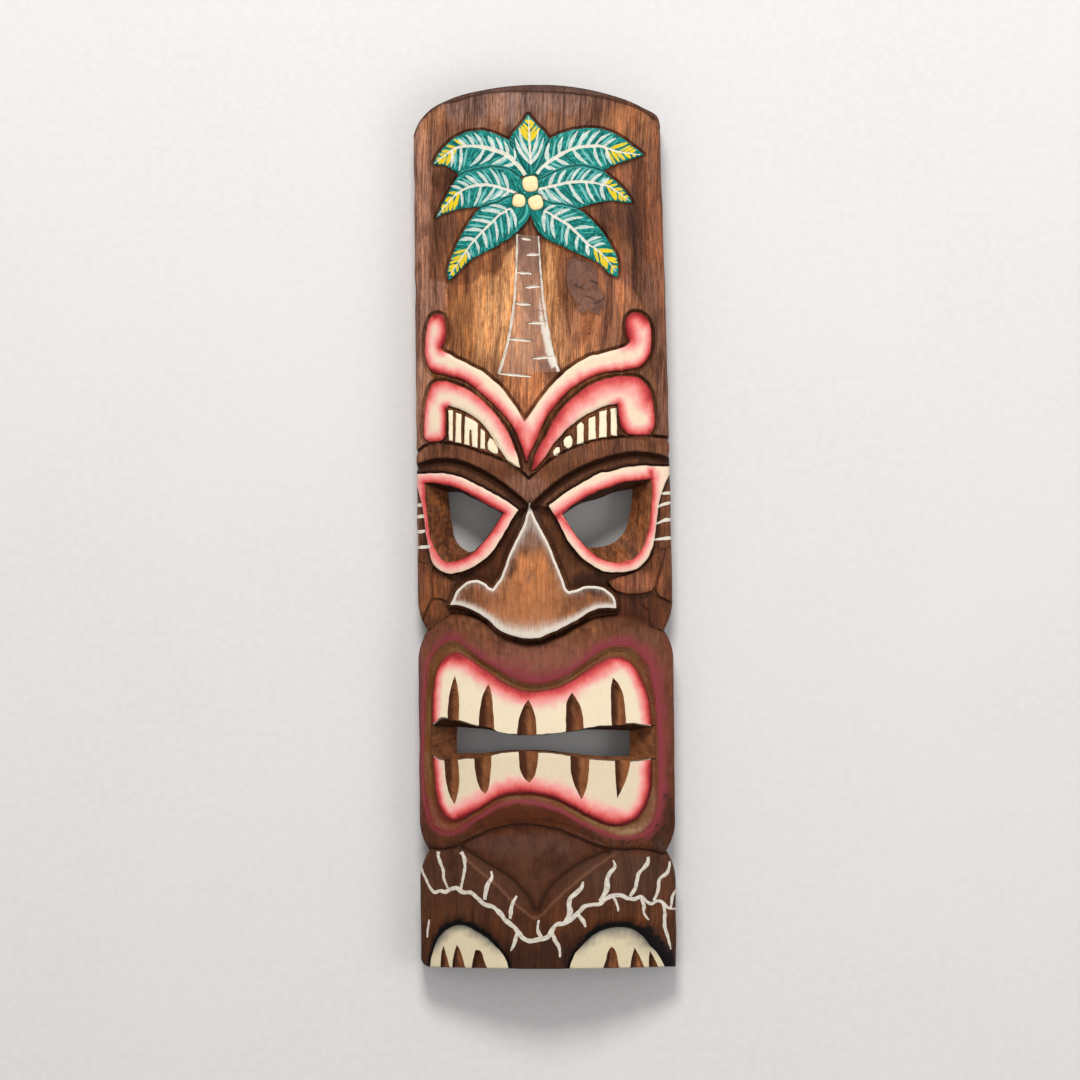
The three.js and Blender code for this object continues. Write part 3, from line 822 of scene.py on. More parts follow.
def face_cut(p):
    """Depth of the face round the eyes and the nose."""
    inner = depth_in(p, FACE)
    sides = 3.0 + (SOCKET_DEPTH - 3.0) * fade((70 - np.abs(p[:, 0])) / 14)
    depth = sides * fade(inner / 1.7)
    for outline, flat, across, ahead in FLATS:
        middle = outline.mean(0)
        level = flat + across * (p[:, 0] - middle[0]) + ahead * (p[:, 1] - middle[1])
        share = fade((depth_in(p, outline) + 0.5) / 1.0)
        depth = np.where(inner > 0, depth * (1 - share) + level * share * fade(inner / 1.7), depth)
    lip = 1.3 * hold(1 + inner / 3.0) ** 2 * (p[:, 1] < -40)
    return np.where(inner > 0, depth, lip)


def make_eyes():
    follow_beside(FACE, (0, -1.7))
    CUTS.append(face_cut)
    stain_and_shade(FACE, 0.3, 2.6, 0.55)
    for outline, *_ in FLATS:
        follow_beside(outline, (0.5, -0.5))
        stain_and_shade(outline, 0.15, 0.45, 0.6)
    follow_beside(path(LIP_TOP), (1.0, 2.0, 3.0), closed=False)
    for places in (LEFT_RIM_TOP, RIGHT_RIM_TOP):
        groove(beside(path(places), -0.7, closed=False), 1.3, 2.0)
    for outline, red in zip(RIMS, (LEFT_RIM_BLUSH, RIGHT_RIM_BLUSH)):
        follow_beside(outline, (1.1, 0, -0.9))
        stain_and_shade(beside(outline, 0.4), 0.3, 0.5, 0.8)
        stain_and_shade(beside(outline, 0.9), 0.4, 2.2, 0.5)
        paint(outline, RIM_CREAM, blush=blush(red))
    for places in SIDE_TICKS:
        stroke(places, (1.0, 1.9, 1.7), VINE)


def nose_height(p):
    """The nose's top: the rounded front, tipped up towards the tip of the nose."""
    z = face_at(p[:, 0]) - NOSE_ROOT_DEPTH + (NOSE_ROOT - p[:, 1]) * NOSE_SLOPE
    return z + 0.12 * ripple(p, 16, 21)


def nose_cover(p):
    """How thick the white brushed on the nose's edges is."""
    inner, foot = depth_in(p, NOSE, 14), away_from(p, NOSE_FOOT_LINE, 14)
    uneven = 1 + 0.25 * ripple(p, 6, 23)
    edge = 0.6 * hold(1.5 - inner / 0.6) + 0.32 * np.exp(-inner / (2.6 * uneven))
    low = 0.85 * np.exp(-((foot / (1.9 + 4.2 * hump(p[:, 0], -9, 17))) ** 1.5))
    high = 0.35 * hump(p[:, 1], -2, 12)
    return hold(np.maximum(edge, low) + high * np.exp(-inner / 3))


def make_nose():
    follow_beside(NOSE, (0, 0.8, NOSE_WALL, -0.8, -1.7, -2.8))
    foot = beside(NOSE, NOSE_WALL)
    stain_and_shade(NOSE, 0.2, 0.5, 0.8)
    stain_and_shade(foot, 0.15, 0.5, 0.6)
    stain_and_shade(foot, 0.4, 1.8, 0.45)
    paint(NOSE, NOSE_EDGE, cover=nose_cover, dry=1.0)
    stroke(NOSE_BRIDGE, (0.8, 0.9, 0.5), VINE, 0.6, cover=0.8)


# The mouth, the chin and the feet

LIPS = ring([
    (425.5, 685), (430, 660), (434, 653), (440, 645.5), (455, 640.5), (460, 642), (466, 647), (490, 665),
    (500, 670.5), (510, 676.5), (530, 683.5), (556, 680), (582, 664.5), (590, 658), (616, 645.5),
    (634, 649), (641, 655), (648, 664), (654.5, 690), (657.5, 720), (659, 745), (659, 800), (657, 815),
    (653, 825), (646, 832.5), (636, 836.5), (614, 836), (604, 832), (580, 821), (565, 812), (545, 804.5),
    (535, 802), (505, 803), (470, 823), (454, 833), (446, 834), (432, 826), (429, 817), (424, 790),
    (423.5, 770), (424, 720),
])
TEETH = ring([
    (433, 726), (433, 700), (435.5, 680), (438, 670), (453, 655), (460, 655), (466, 658), (474, 663.5),
    (490, 674), (508, 686), (525, 692), (545, 691.5), (576, 679.5), (586, 672), (606, 661), (614, 658.5),
    (630, 664), (638, 674), (644, 688), (648, 700), (651, 726), (651, 761), (650.5, 775), (647, 800),
    (642, 810), (636, 818), (618, 825), (608, 823.5), (588, 815), (568, 804), (558, 799), (548, 796),
    (538, 793.5), (518, 793.5), (508, 794.5), (492, 800.5), (484, 806), (468, 815.5), (460, 820),
    (452, 820.5), (441, 810), (438, 800), (434, 770),
])
TOOTH_GAPS = [
    [(447.5, 730), (450.9, 688.9), (455, 676.2), (457.8, 688.9), (458.2, 730)],
    [(478, 736), (479.6, 714), (483, 695.7), (488.8, 684.3), (491.8, 695.7), (493.4, 711.8), (494.5, 738)],
    [(516.4, 744), (522.5, 709.5), (528.2, 699.6), (534, 711.8), (535.8, 744)],
    [(565.6, 742), (566.1, 716.4), (566.8, 702.6), (572.1, 693), (579.4, 704.9), (583.8, 740)],
    [
        (611.8, 734), (611.1, 709.5), (611.1, 688.9), (612.7, 678.5), (618.4, 684.3), (623, 695.7),
        (625.3, 711.8), (626, 734),
    ],
    [(443.8, 752), (444.4, 765), (449.8, 796.7), (454.3, 805.4), (456, 801.3), (456.5, 752)],
    [
        (473, 749), (473.9, 758.9), (476.1, 776), (480.7, 789.8), (485.3, 794.9), (488.1, 789.8),
        (490.4, 776), (491.4, 748),
    ],
    [
        (518, 743), (518.6, 752.7), (524.3, 778.4), (529.6, 783.4), (534.7, 776), (537.7, 762.3),
        (538.4, 743),
    ],
    [
        (570, 748), (570.3, 757.3), (570.7, 771.5), (581.3, 799.7), (585.2, 792.1), (588.6, 773.8),
        (589.4, 749),
    ],
    [(614.6, 752), (615.7, 780.7), (617.3, 799), (628.8, 771.5), (631.4, 752)],
]
SLOT = [
    [
        (432, 727), (436, 724), (440, 720.5), (450, 720.5), (478, 727), (492, 729), (496, 732), (505, 734),
        (515, 735), (570, 732), (580, 730), (600, 727), (612, 726.5), (635, 725), (643, 726.5),
        (655, 727.5),
    ],
    [(655, 727.5), (656, 744), (655.7, 752), (656, 759.5)],
    [
        (656, 759.5), (648, 760), (630, 761.5), (615, 761), (592, 759.5), (580, 758.5), (570, 756),
        (560, 754.5), (550, 753), (540, 752.5), (515, 752), (506, 753), (498, 754), (490, 756.5),
        (480, 758.5), (466, 759), (441, 760), (432, 756.5),
    ],
    [(432, 756.5), (431.5, 748), (431.8, 740), (431.4, 733), (432, 727)],
]
SLOT_BACK = [
    [(457, 728.5), (470, 729.5), (486, 730.5), (505, 735), (570, 733), (585, 731), (600, 731), (630, 732)],
    [(630, 732), (630.3, 744), (630, 757.5)],
    [(630, 757.5), (615, 758), (575, 755), (545, 751.5), (506, 751.7), (480, 754.5), (457, 755)],
    [(457, 755), (456.6, 742), (457, 728.5)],
]
SOOT = [
    (671, 790), (672, 830), (664, 850), (630, 848), (612, 841), (640, 838), (654, 829), (661, 812),
    (664, 795),
]
TEETH_BLUSH = [
    ([(453, 655), (466, 658), (482, 669), (525, 692), (566, 685), (586, 672), (606, 661)], 6.8, 1.0),
    ([(604, 662), (614, 658.5), (630, 664), (644, 688), (651, 726)], 4.2, 0.95),
    ([(651.5, 745), (650.5, 775), (647, 800), (636, 818), (618, 825)], 4.6, 1.2),
    ([(620, 825), (598, 820), (578, 809.5), (548, 796), (508, 794.5), (484, 806), (460, 820)], 6.8, 1.18),
    ([(466, 817), (452, 820.5), (441, 810), (435.5, 785), (433, 757)], 3.4, 1.1),
    ([(433, 742), (433, 700), (438, 670), (453, 655)], 3.4, 0.95),
]
SOFT_TEETH_RED = blush(TEETH_BLUSH)
CHIN = [
    (415, 850), (428, 850), (440, 850.3), (448, 850), (455, 848.5), (463, 844), (470, 840), (480, 835.5),
    (490, 831), (500, 828), (510, 826), (520, 825), (530, 825), (540, 826), (550, 828), (560, 830.5),
    (570, 834.5), (580, 838.5), (590, 843), (600, 846.5), (610, 849.5), (618, 850.5), (632, 850.5),
    (645, 851), (655, 853), (662, 855.5), (668, 854.5), (680, 854),
]
BELLY = ring(CHIN[5:-7] + [
    (597, 856), (583.7, 862), (564, 875), (548, 890.7), (536.3, 910.5), (526.4, 894.7), (508.6, 877),
    (485, 863), (466, 850),
], 40)
BELLY_ARC = path(CHIN[5:-7])
BELLY_SIDES = path([
    (455, 847), (466, 850.5), (485, 863), (508.6, 877), (526.4, 894.7), (536.3, 910.5), (548, 890.7),
    (564, 875), (583.7, 862), (600, 854.5), (612, 850.5),
])
BEVEL = ring([
    (448, 850), (454, 851.5), (473.9, 867.9), (496.8, 886.2), (515, 904.6), (534.5, 919.5), (540.3, 916.4),
    (554, 902.6), (607.5, 860), (621, 852), (600, 838), (530, 818), (470, 832),
], 40)
FEET = [
    [
        (429.5, 985), (430, 968), (434, 950), (437, 942), (454, 927), (460, 926), (480, 934), (488, 939),
        (494, 945), (505, 958), (510, 985),
    ],
    [
        (568, 985), (575, 954), (587, 941), (594, 935), (634, 931), (646, 941), (650, 947), (656, 953),
        (660, 959), (664, 966), (668, 985),
    ],
]
TOE_GAPS = [
    [(439, 980), (440.5, 967), (441.5, 953), (443.5, 947), (449.5, 967), (452, 980)],
    [(452, 980), (454.5, 953), (457, 945.5), (460, 951), (465, 967), (468, 980)],
    [(471, 980), (473.5, 958), (475.5, 950.5), (480, 951), (484, 960), (487.5, 969), (490, 980)],
    [
        (601.5, 980), (603.5, 967.5), (605.5, 962), (608.5, 951), (611.5, 947), (614.5, 950), (618, 962),
        (622, 980),
    ],
    [(629.5, 980), (632.5, 955), (634.5, 948.5), (644, 967.5), (647, 980)],
    [(649, 980), (649, 967.5), (649, 960), (650, 952), (658, 967.5), (662, 980)],
]
FOOT_DEPTH, FOOT_GROOVE_DEPTH = 1.2, 2.7
FOOT_GROOVE, FOOT_BEVEL = 2.4, 6.6  # mm outside the foot where the groove and the bevel end
FOOT_GROOVE_LOW = 0.42 * FOOT_GROOVE  # where the groove is deepest
CHIN_LINE = path(CHIN)
GAPS = [ring(places, 60) for places in TOOTH_GAPS]
TOES = [ring(places, 60) for places in TOE_GAPS]
FOOT_RINGS = [ring(places, 60) for places in FEET]
SLOT_RINGS = sides_of(SLOT, SLOT_BACK)


def band_share(p):
    """0 on the lips' edge and 1 on the teeth's, and how far inside each of them each place is."""
    outer, inner = depth_in(p, LIPS), depth_in(p, TEETH)
    return share_across(outer, inner), outer, inner


def mouth_cut(p):
    share, outer, inner = band_share(p)
    band = BAND_DEPTH * np.where(share < 0.62, fade(share / 0.62), 1 - 0.5 * fade((share - 0.62) / 0.38))
    rounding = 0.35 + 1.05 * hold(1 - inner / 1.7) ** 2
    lip = 0.5 * hold(1 + outer / 2.2) ** 2
    depth = np.where(inner > 0, rounding, band)
    return np.where(outer > 0, depth, lip)


def gap_cut(p, outlines, depth, slope):
    cut = np.zeros(len(p))
    for outline in outlines:
        cut = np.maximum(cut, np.clip(slope * depth_in(p, outline, 1.0), 0, depth))
    return cut


def lip_wash(p):
    """The maroon that fades outwards over the lips."""
    _, outer, _ = band_share(p)
    x, y = p[:, 0], p[:, 1]
    middle = 6.5 * hump(x, -8, 19) * (y > -115)
    right = 3.6 * hump(x, 42, 21) * (y > -105) + 2.4 * (x > 55)
    left = 1.8 * hump(x, -50, 16) * (y > -90)
    reach = (2.2 + middle + right + left) * (1 + 0.2 * ripple(p, 13, 33))
    strength = 0.78 + 0.12 * fade((x + 30) / 60) - 0.12 * (y < -165)
    return np.where(outer <= 0.01, strength * hold(1 + outer / np.maximum(1.3 * reach, 1.2)) ** 0.8, 0)


def band_colour_cover(p):
    return 0.72 + 0.12 * ripple(p, 9, 35) + 0.1 * ripple(p, 2.2, 36)


def band_wash(p):
    """Maroon in the channel, mostly under the lower teeth."""
    share, _, _ = band_share(p)
    low = below(p, -148, 10) * (1 - right_of(p, -20, 40))
    right = right_of(p, 50, 8)
    uneven = 0.75 + 0.25 * ripple(p, 8, 37)
    edges = 0.75 * hold(1 - share / 0.3) + 0.4 * fade((share - 0.75) / 0.25)
    return np.clip((0.5 * low + 0.3 * right) * uneven + edges, 0, 0.92)


def band_streaks(p):
    """Paler streaks along the channel, greyer and wider at the right under the lower teeth."""
    share, _, _ = band_share(p)
    _, where = nearest(p, TEETH, closed=True)
    streaks = ripple(np.column_stack([where * 0.12, share * 7]), 3.0, 38) + 0.7 * ripple(p, 2.4, 39)
    low = below(p, -140, 12) * right_of(p, 10, 30)
    cover = np.clip((0.3 + 0.3 * low) * fade(0.3 + 0.6 * streaks) + 0.25 * low, 0, 0.75)
    return cover * fade((0.85 - share) / 0.2)


def teeth_line(p):
    """The dark red line round the teeth, widest under the lower ones."""
    low = below(p, -130, 20)
    width = 0.5 + 0.95 * low * right_of(p, -20, 40) + 0.25 * low
    return 0.9 * fade((depth_in(p, TEETH) + width + 0.3 * ripple(p, 5, 49)) / 0.4)


def teeth_red(p):
    """How red the teeth are, with crimson on their edges, wider on the lower ones."""
    low = below(p, -124, 24)
    edge = fade(1.2 - depth_in(p, TEETH) / (1.2 + 2.3 * low * (1 + 0.25 * ripple(p, 14, 50))))
    return np.maximum(SOFT_TEETH_RED(p), (0.75 + 0.22 * low) * edge)


def soot_spots(p):
    return 0.75 * fade((ripple(p * (1, 0.6), 3.4, 48) - 0.35) / 0.3)


def make_mouth():
    follow_beside(LIPS, (0, 1.6, -1.2, -2.6))
    follow_beside(TEETH, (0, 0.9, 1.9, -0.9, -1.8))
    CUTS.append(mouth_cut)
    stain_and_shade(beside(TEETH, 1.4), 0.5, 1.6, 0.5)
    paint(beside(LIPS, 12), LIP_MAROON, cover=lip_wash, crisp=False, dry=0.5)
    paint(LIPS, CHANNEL_GOLD, cover=band_colour_cover, dry=0.3)
    paint(LIPS, CHANNEL_PALE, cover=band_streaks, dry=0.4)
    paint(LIPS, CHANNEL_MAROON, cover=band_wash)
    paint(beside(TEETH, 1.5), TEETH_LINE, cover=teeth_line)
    paint(TEETH, TOOTH, blush=teeth_red)
    # Painted shade: the lower teeth a little darker towards the bottom
    paint(TEETH, LOWER_TEETH_PAINTED_SHADE, cover=lambda p: 0.16 * below(p, -126, 6))
    paint(ring(SOOT), SOOT_BLACK, cover=soot_spots, crisp=False)
    # Painted shadow: dark strokes along the slot's top and bottom edges, widest at its ends
    for side in (SLOT[0], SLOT[2]):
        stroke(side, (1.7, 1.2, 0.6, 0.9, 0.5, 0.9, 1.7), SLOT_PAINTED_SHADOW, cover=0.85)
    for outline in GAPS:
        follow_beside(outline, (0, -1.1))
    CUTS.append(lambda p: np.where(depth_in(p, TEETH) > -2, gap_cut(p, GAPS, TOOTH_GAP_DEPTH, 1.35), 0))
    slot = SLOT_RINGS[0]
    follow_beside(slot, (0, 0.6))
    CUTS.append(lambda p: 0.45 * hold(1 + depth_in(p, slot) / 0.6) ** 2)


def belly_cut(p):
    """Depth of the belly, deepest at the foot of its V, and of the bevel beside it."""
    inner, outer = depth_in(p, BELLY), depth_in(p, BEVEL)
    arc, sides = away_from(p, BELLY_ARC), away_from(p, BELLY_SIDES)
    floor = 2.0 + 2.8 * hold((-170 - p[:, 1]) / 46)
    side = (floor + 0.5) * share_across(outer, inner) * fade(arc / 3)
    belly = floor * fade(arc / 1.1) + 0.5 * hold(1 - sides / 1.6) * fade(arc / 3)
    return np.where(inner > 0, belly, np.where(outer > 0, side, 0))


# Where the bevel's dark golden brown goes: partly its own tone, partly painted shade
def bevel_brown_and_shade_cover(p):
    clear = fade(depth_in(p, BEVEL) / 1.2) * fade((away_from(p, BELLY_SIDES) - 0.4) / 2.2)
    return 0.55 * clear * (depth_in(p, BELLY) < 0.01) * below(p, -183, 5)


# Where the painted highlight along the bevel's outer edge goes
def bevel_highlight_cover(p):
    low = below(p, -183, 5)
    return 0.5 * low * hold(1.2 - np.abs(depth_in(p, BEVEL) - 0.3) / 0.7) * (depth_in(p, BELLY) < 0)


def chin_cut(p):
    """Depth of the rounding of the chin above its line and of the line."""
    away, where = nearest(p, CHIN_LINE, closed=False)
    above = p[:, 1] > along(CHIN_LINE, where)[:, 1]
    rounding = 1.3 * hold(1 - away / 4.2) ** 2
    below = 1.6 * hold(1 - away / 1.3)
    return np.where(above, rounding + 0.5 * hold(1 - away / 0.8), below)


def feet_cut(p):
    depth = np.zeros(len(p))
    for outline in FOOT_RINGS:
        inner = depth_in(p, outline)
        groove_side = FOOT_DEPTH + (FOOT_GROOVE_DEPTH - FOOT_DEPTH) * hold(-inner / FOOT_GROOVE_LOW)
        bevel = FOOT_GROOVE_DEPTH * hold((FOOT_BEVEL + inner) / (FOOT_BEVEL - FOOT_GROOVE_LOW)) ** 1.15
        foot = FOOT_DEPTH - 0.35 + 0.7 * hold(1 - inner / 2.2) ** 2
        here = np.where(inner > 0, foot, np.where(-inner < FOOT_GROOVE_LOW, groove_side, bevel))
        depth = np.maximum(depth, here)
    return depth


def foot_black(outline):
    """The soft black round a foot, as the share that covers each place."""

    def cover(p):
        inner = depth_in(p, outline)
        uneven = 1 + 0.3 * ripple(p, 5, 41)
        right = right_of(p, 50, 12)
        reach = (4.6 + 5.5 * right - 2.2 * below(p, -226, 16) * (1 - right)) * uneven
        return hold(3.5 * (0.85 + inner / np.maximum(reach, 1.2))) * (inner <= 0.01)

    return cover


def foot_shade(outline):
    """The grey on the outer part of a foot."""

    def cover(p):
        inner = depth_in(p, outline)
        high = fade((p[:, 1] + 246) / 12)
        reach = 6.0 + 3.0 * right_of(p, 30, 10)
        return 0.92 * hold(1 - inner / (reach * (1 + 0.25 * ripple(p, 6, 43)))) ** 1.4 * high

    return cover


def make_chin_and_feet():
    for line in (BELLY, BEVEL):
        follow(line, closed=True)
    follow_beside(BELLY, (0.8, -0.8))
    follow_beside(CHIN_LINE, (0, 1.3, -0.8, -2.2, -4.2), closed=False)
    CUTS.append(belly_cut)
    CUTS.append(chin_cut)
    stain_and_shade(CHIN_LINE, 0.25, 0.5, 0.8, closed=False)
    stain_and_shade(CHIN_LINE, 0.4, 1.6, 0.45, closed=False)
    stain_and_shade(BELLY_SIDES, 0.25, 0.5, 0.9, closed=False)
    stain_and_shade(BELLY_SIDES, 0.9, 2.4, 0.65, closed=False)
    # The bevel's dark golden brown with painted shade, and a painted highlight along its outer edge
    paint(BEVEL, BEVEL_BROWN_AND_SHADE, cover=bevel_brown_and_shade_cover, crisp=False, dry=0.4)
    paint(beside(BEVEL, 3), BEVEL_PAINTED_HIGHLIGHT, cover=bevel_highlight_cover, crisp=False, dry=0.4)
    for outline in FOOT_RINGS:
        follow_beside(outline, (0, FOOT_GROOVE_LOW, FOOT_GROOVE, 4.4, FOOT_BEVEL, -1.1, -2.2))
        paint(beside(outline, 9), FOOT_BLACK, cover=foot_black(outline), crisp=False, dry=0.6)
        # The feet's cream, darkened as painted shade
        paint(outline, SHADED_FOOT_CREAM)
        paint(outline, FOOT_GREY, cover=foot_shade(outline), dry=0.5)
    CUTS.append(feet_cut)
    for outline in TOES:
        follow_beside(outline, (0, -1.1))
    CUTS.append(lambda p: FOOT_DEPTH * 0.7 * (gap_cut(p, TOES, 1, 9) > 0) + gap_cut(p, TOES, 2.4, 1.3))


# The white vines under the belly: the widths in mm, and the places

VINES = [
    (
        (1.0, 2.2, 2.4, 2.6, 2.4, 2.2, 1.3),
        [
            (419, 862), (424, 877), (427, 883), (430, 889), (434, 893.5), (440, 892), (446, 893),
            (451, 890), (457, 889), (463, 893), (470, 893), (477, 898), (485, 905), (493, 907), (500, 913),
            (506, 921), (513, 926), (518, 932), (523, 938), (530, 941), (540, 939), (548, 937), (552, 930),
            (556, 925), (565, 923), (578, 913), (584, 907), (592, 905), (600, 904), (606, 899), (613, 896),
            (620, 896), (628, 899), (634, 900), (642, 898), (646, 902), (652, 905), (658, 902), (663, 904),
            (668, 909), (678, 911),
        ],
    ),
    ((1.9, 1.7, 1.5, 1.2), [(438.5, 853), (438, 857), (440, 863), (443, 871), (444, 880), (448, 889)]),
    ((2.1, 1.9, 1.6, 1.2), [(461, 853), (464, 858), (465, 866), (463, 880), (461, 890)]),
    ((1.2, 2.2, 2.6, 1.6), [(491, 872), (492, 878), (488, 884), (486, 892), (485, 900)]),
    ((1.0, 1.8, 2.3, 2.0), [(517, 896), (513, 903), (511, 912), (510, 919)]),
    ((1.0, 2.0, 2.5), [(539, 920), (538, 930), (541, 937)]),
    (
        (1.2, 2.8, 2.5, 2.9, 2.0),
        [(583, 882), (582, 887), (575, 894), (570, 899), (569, 906), (570, 912), (564, 923)],
    ),
    (
        (1.0, 2.4, 2.6, 2.9, 2.2),
        [(613, 861), (615, 867), (610, 873), (607, 880), (607, 888), (604, 895), (600, 902)],
    ),
    (
        (1.8, 2.2, 2.0, 2.2, 1.8),
        [(648, 858), (648, 863), (644, 869), (639, 874), (637, 882), (635, 890), (630, 897)],
    ),
    ((1.2, 2.0, 1.9, 1.9, 1.6), [(670, 863), (669, 870), (667, 875), (661, 879), (658, 893), (654, 902)]),
    ((1.2, 1.8, 1.2), [(679, 890), (673, 898), (672, 905), (671, 910)]),
    ((1.2, 2.4, 2.2, 0.9), [(517, 932), (516, 938), (511, 951)]),
    ((1.6, 2.4, 1.8, 1.0), [(552, 931), (555, 940), (559, 947), (560, 957)]),
    ((2.0, 2.4, 1.2), [(578, 915), (583, 921), (585.5, 927)]),
    ((1.4, 1.6, 0.9), [(613, 897), (617, 905), (618, 912)]),
    ((1.4, 1.9, 1.3, 0.9), [(641, 900), (644, 907), (644, 914), (649, 921)]),
    ((1.4, 2.0, 1.7, 0.9), [(663, 904), (665, 914), (665, 928), (668, 938), (671, 951)]),
    ((0.8, 1.4, 0.8), [(429, 921), (428, 930), (427, 939)]),
]


def make_vines():
    for widths, places in VINES:
        stroke(places, widths, VINE, 0.8, cover=patchy(0.8, 0.18, 4, 45), dry=0.25)


# The palm

LEAVES = {
    "top": [
        (528, 116.8), (520.5, 127), (511.5, 138), (510, 142), (516, 155), (524, 170), (531, 178),
        (537, 170), (543, 157), (548.5, 142), (547, 138), (537, 127),
    ],
    "upper left": [
        (432.7, 164.8), (439, 154), (464, 134.5), (474.6, 132.2), (496, 135.8), (503, 139.4),
        (509.5, 142.5), (529, 165), (530, 176), (519, 178), (509, 171), (489, 168), (470, 171),
        (459.5, 176.8), (446, 167), (438, 165.5),
    ],
    "middle left": [
        (435.8, 218.3), (451.3, 188.6), (459.5, 176.5), (475, 170.5), (509, 171), (519, 178), (522, 190),
        (520, 197), (512, 198), (497, 203.5), (481.8, 208.5), (476.4, 208.5), (445, 214.3),
    ],
    "lower left": [
        (481.8, 208.5), (473.8, 217), (466.6, 227.7), (455, 250), (450.5, 260.7), (447.5, 271),
        (448.8, 282), (458.6, 273), (469.3, 262.5), (481, 255.4), (492.5, 250), (504, 243), (514.8, 235.7),
        (521, 229.5), (529, 217.5), (529, 210), (520, 200), (512, 198), (497, 203.5),
    ],
    "upper right": [
        (548.4, 142.5), (557.3, 137), (566.3, 133.6), (602, 131), (643.5, 155.5), (633, 159.5),
        (611.8, 167.5), (603, 172), (590, 168.5), (578, 167), (560, 171), (548, 177), (537, 182),
        (533, 176), (537, 170), (543, 157),
    ],
    "middle right": [
        (548, 177), (560, 171), (578, 167), (590, 168.5), (602.5, 172.5), (611, 179), (627, 195),
        (632, 203.5), (624.3, 203.7), (615.4, 202.3), (590.4, 206), (579.6, 209.5), (564, 206), (548, 204),
        (537, 190), (537, 182),
    ],
    "lower right": [
        (548, 204), (564, 206), (578.8, 211), (588.6, 218.8), (605.5, 238.4), (618, 264.3), (617.5, 278),
        (611, 276), (604.6, 269.6), (585, 258), (572.5, 252.7), (561.8, 247.3), (551, 243), (540.4, 235.7),
        (535, 226.8), (532, 220), (529.5, 216), (531, 208), (541, 200),
    ],
}
RIBS = {
    "top": [(531, 166), (530, 150), (528.7, 120)],
    "upper left": [
        (525.5, 177), (515.7, 164.8), (506.8, 156.8), (496, 152.3), (471, 147.4), (458.6, 148.3),
        (445, 156), (434.5, 164),
    ],
    "middle left": [
        (519, 196), (504, 190.5), (489, 186.6), (469, 188.6), (455, 196.5), (446, 206), (438, 216),
    ],
    "lower left": [(510.4, 210.3), (500.5, 216), (489.8, 226), (479, 236.6), (449.6, 276.8)],
    "upper right": [
        (536.8, 175.5), (546.6, 165.7), (560, 156.8), (573.4, 150.5), (588.6, 148), (603, 148.3),
        (611.8, 151.4), (640, 155.6),
    ],
    "middle right": [
        (538.6, 191), (548.4, 189), (575, 183.6), (599.3, 185.4), (609, 188), (620, 195), (629.6, 202),
    ],
    "lower right": [
        (544.8, 212.5), (556.4, 219.6), (568, 226.8), (578, 235.7), (586.8, 244.6), (597.5, 251.8),
        (616, 273),
    ],
}
RIB_WIDTHS = {
    "top": 1.4,
    "upper left": 2.3,
    "middle left": 1.6,
    "lower left": 1.3,
    "upper right": 2.0,
    "middle right": 1.6,
    "lower right": 1.5,
}
PETALS = {
    "top": [(519.3, 131), (515.2, 139.8), (538.5, 132), (543.5, 140)],
    "upper left": [
        (457.7, 140), (466, 136), (474.5, 134.5), (488, 138), (496, 139), (504, 142.5), (514, 150),
        (451, 168), (459, 172), (470, 167.5), (480, 165.5), (492, 166), (504, 167.5),
    ],
    "middle left": [
        (450.5, 187), (457, 182), (465.5, 177), (477, 173), (490, 170), (502, 174), (462, 208),
        (474, 207.5), (482, 205), (491, 201.5), (501, 198.5),
    ],
    "lower left": [
        (481, 212), (471.5, 221.4), (464.8, 231.7), (459.5, 241.5), (490, 207), (516, 229), (508.6, 236),
        (497, 243.5), (487, 249.5), (479, 254.5), (469.3, 260.7),
    ],
    "upper right": [
        (549.3, 145), (562.7, 138.5), (578, 133), (590.4, 132), (600, 132.5), (610, 135.5), (616, 139.5),
        (556, 171), (569, 166.5), (587.7, 165.8), (602, 168.5), (611.8, 165.5),
    ],
    "middle right": [
        (556, 174.5), (566, 172), (581, 169.5), (591, 171), (602, 175), (609, 180), (548, 202), (561, 204),
        (573, 206), (584, 205.5), (595, 203.5), (605, 201.5),
    ],
    "lower right": [
        (556, 207.5), (570, 211), (583, 219), (594, 229), (601, 238.5), (605, 245), (545, 234), (555, 240),
        (567, 247), (577, 252), (589, 257),
    ],
}
LIGHT_PETALS = 0.7  # share of the strokes between the white ones that are light teal, not dark
YELLOW_SHARE = 0.7  # of a rib, where the yellow strokes start
HUB = (529, 195)
HUB_RADIUS = 17.0
COCONUTS = [(530.4, 185.7, 7.9), (518.9, 202.5, 6.5), (535.9, 204.4, 7.3)]
TRUNK_LEFT = [(517.5, 236), (516.5, 268), (514.6, 299), (509.6, 335), (504.5, 357), (498.7, 375.5)]
TRUNK_RIGHT = [(538.7, 238), (540.3, 268), (544.2, 307), (551, 347), (558.5, 373)]
TRUNK_TOP = [(517.5, 236), (523, 226), (529, 218.5), (535, 227), (538.7, 238)]
TRUNK_WASH = [(540, 292), (541.5, 318), (545, 335), (549, 352), (555, 370)]
TRUNK_TICKS = [
    [(521.5, 240), (531, 241.5)], [(526.5, 256.5), (539, 256)], [(517.5, 274), (532, 275.5)],
    [(525.5, 289), (540.5, 288)], [(515.5, 305), (531, 306.5)], [(528.5, 325), (545, 324)],
    [(509.5, 340.5), (531, 342.5)], [(533, 360), (552.5, 358.5)], [(500, 375), (531, 378)],
]
LEAF_GROOVE, LEAF_GROOVE_DEPTH = 1.5, 1.25
RIB_SPACING = 0.8  # between the points of a rib
LEAF_RINGS = {name: ring(places, 46) for name, places in LEAVES.items()}
RIB_LINES = {name: path(places, RIB_SPACING) for name, places in RIBS.items()}


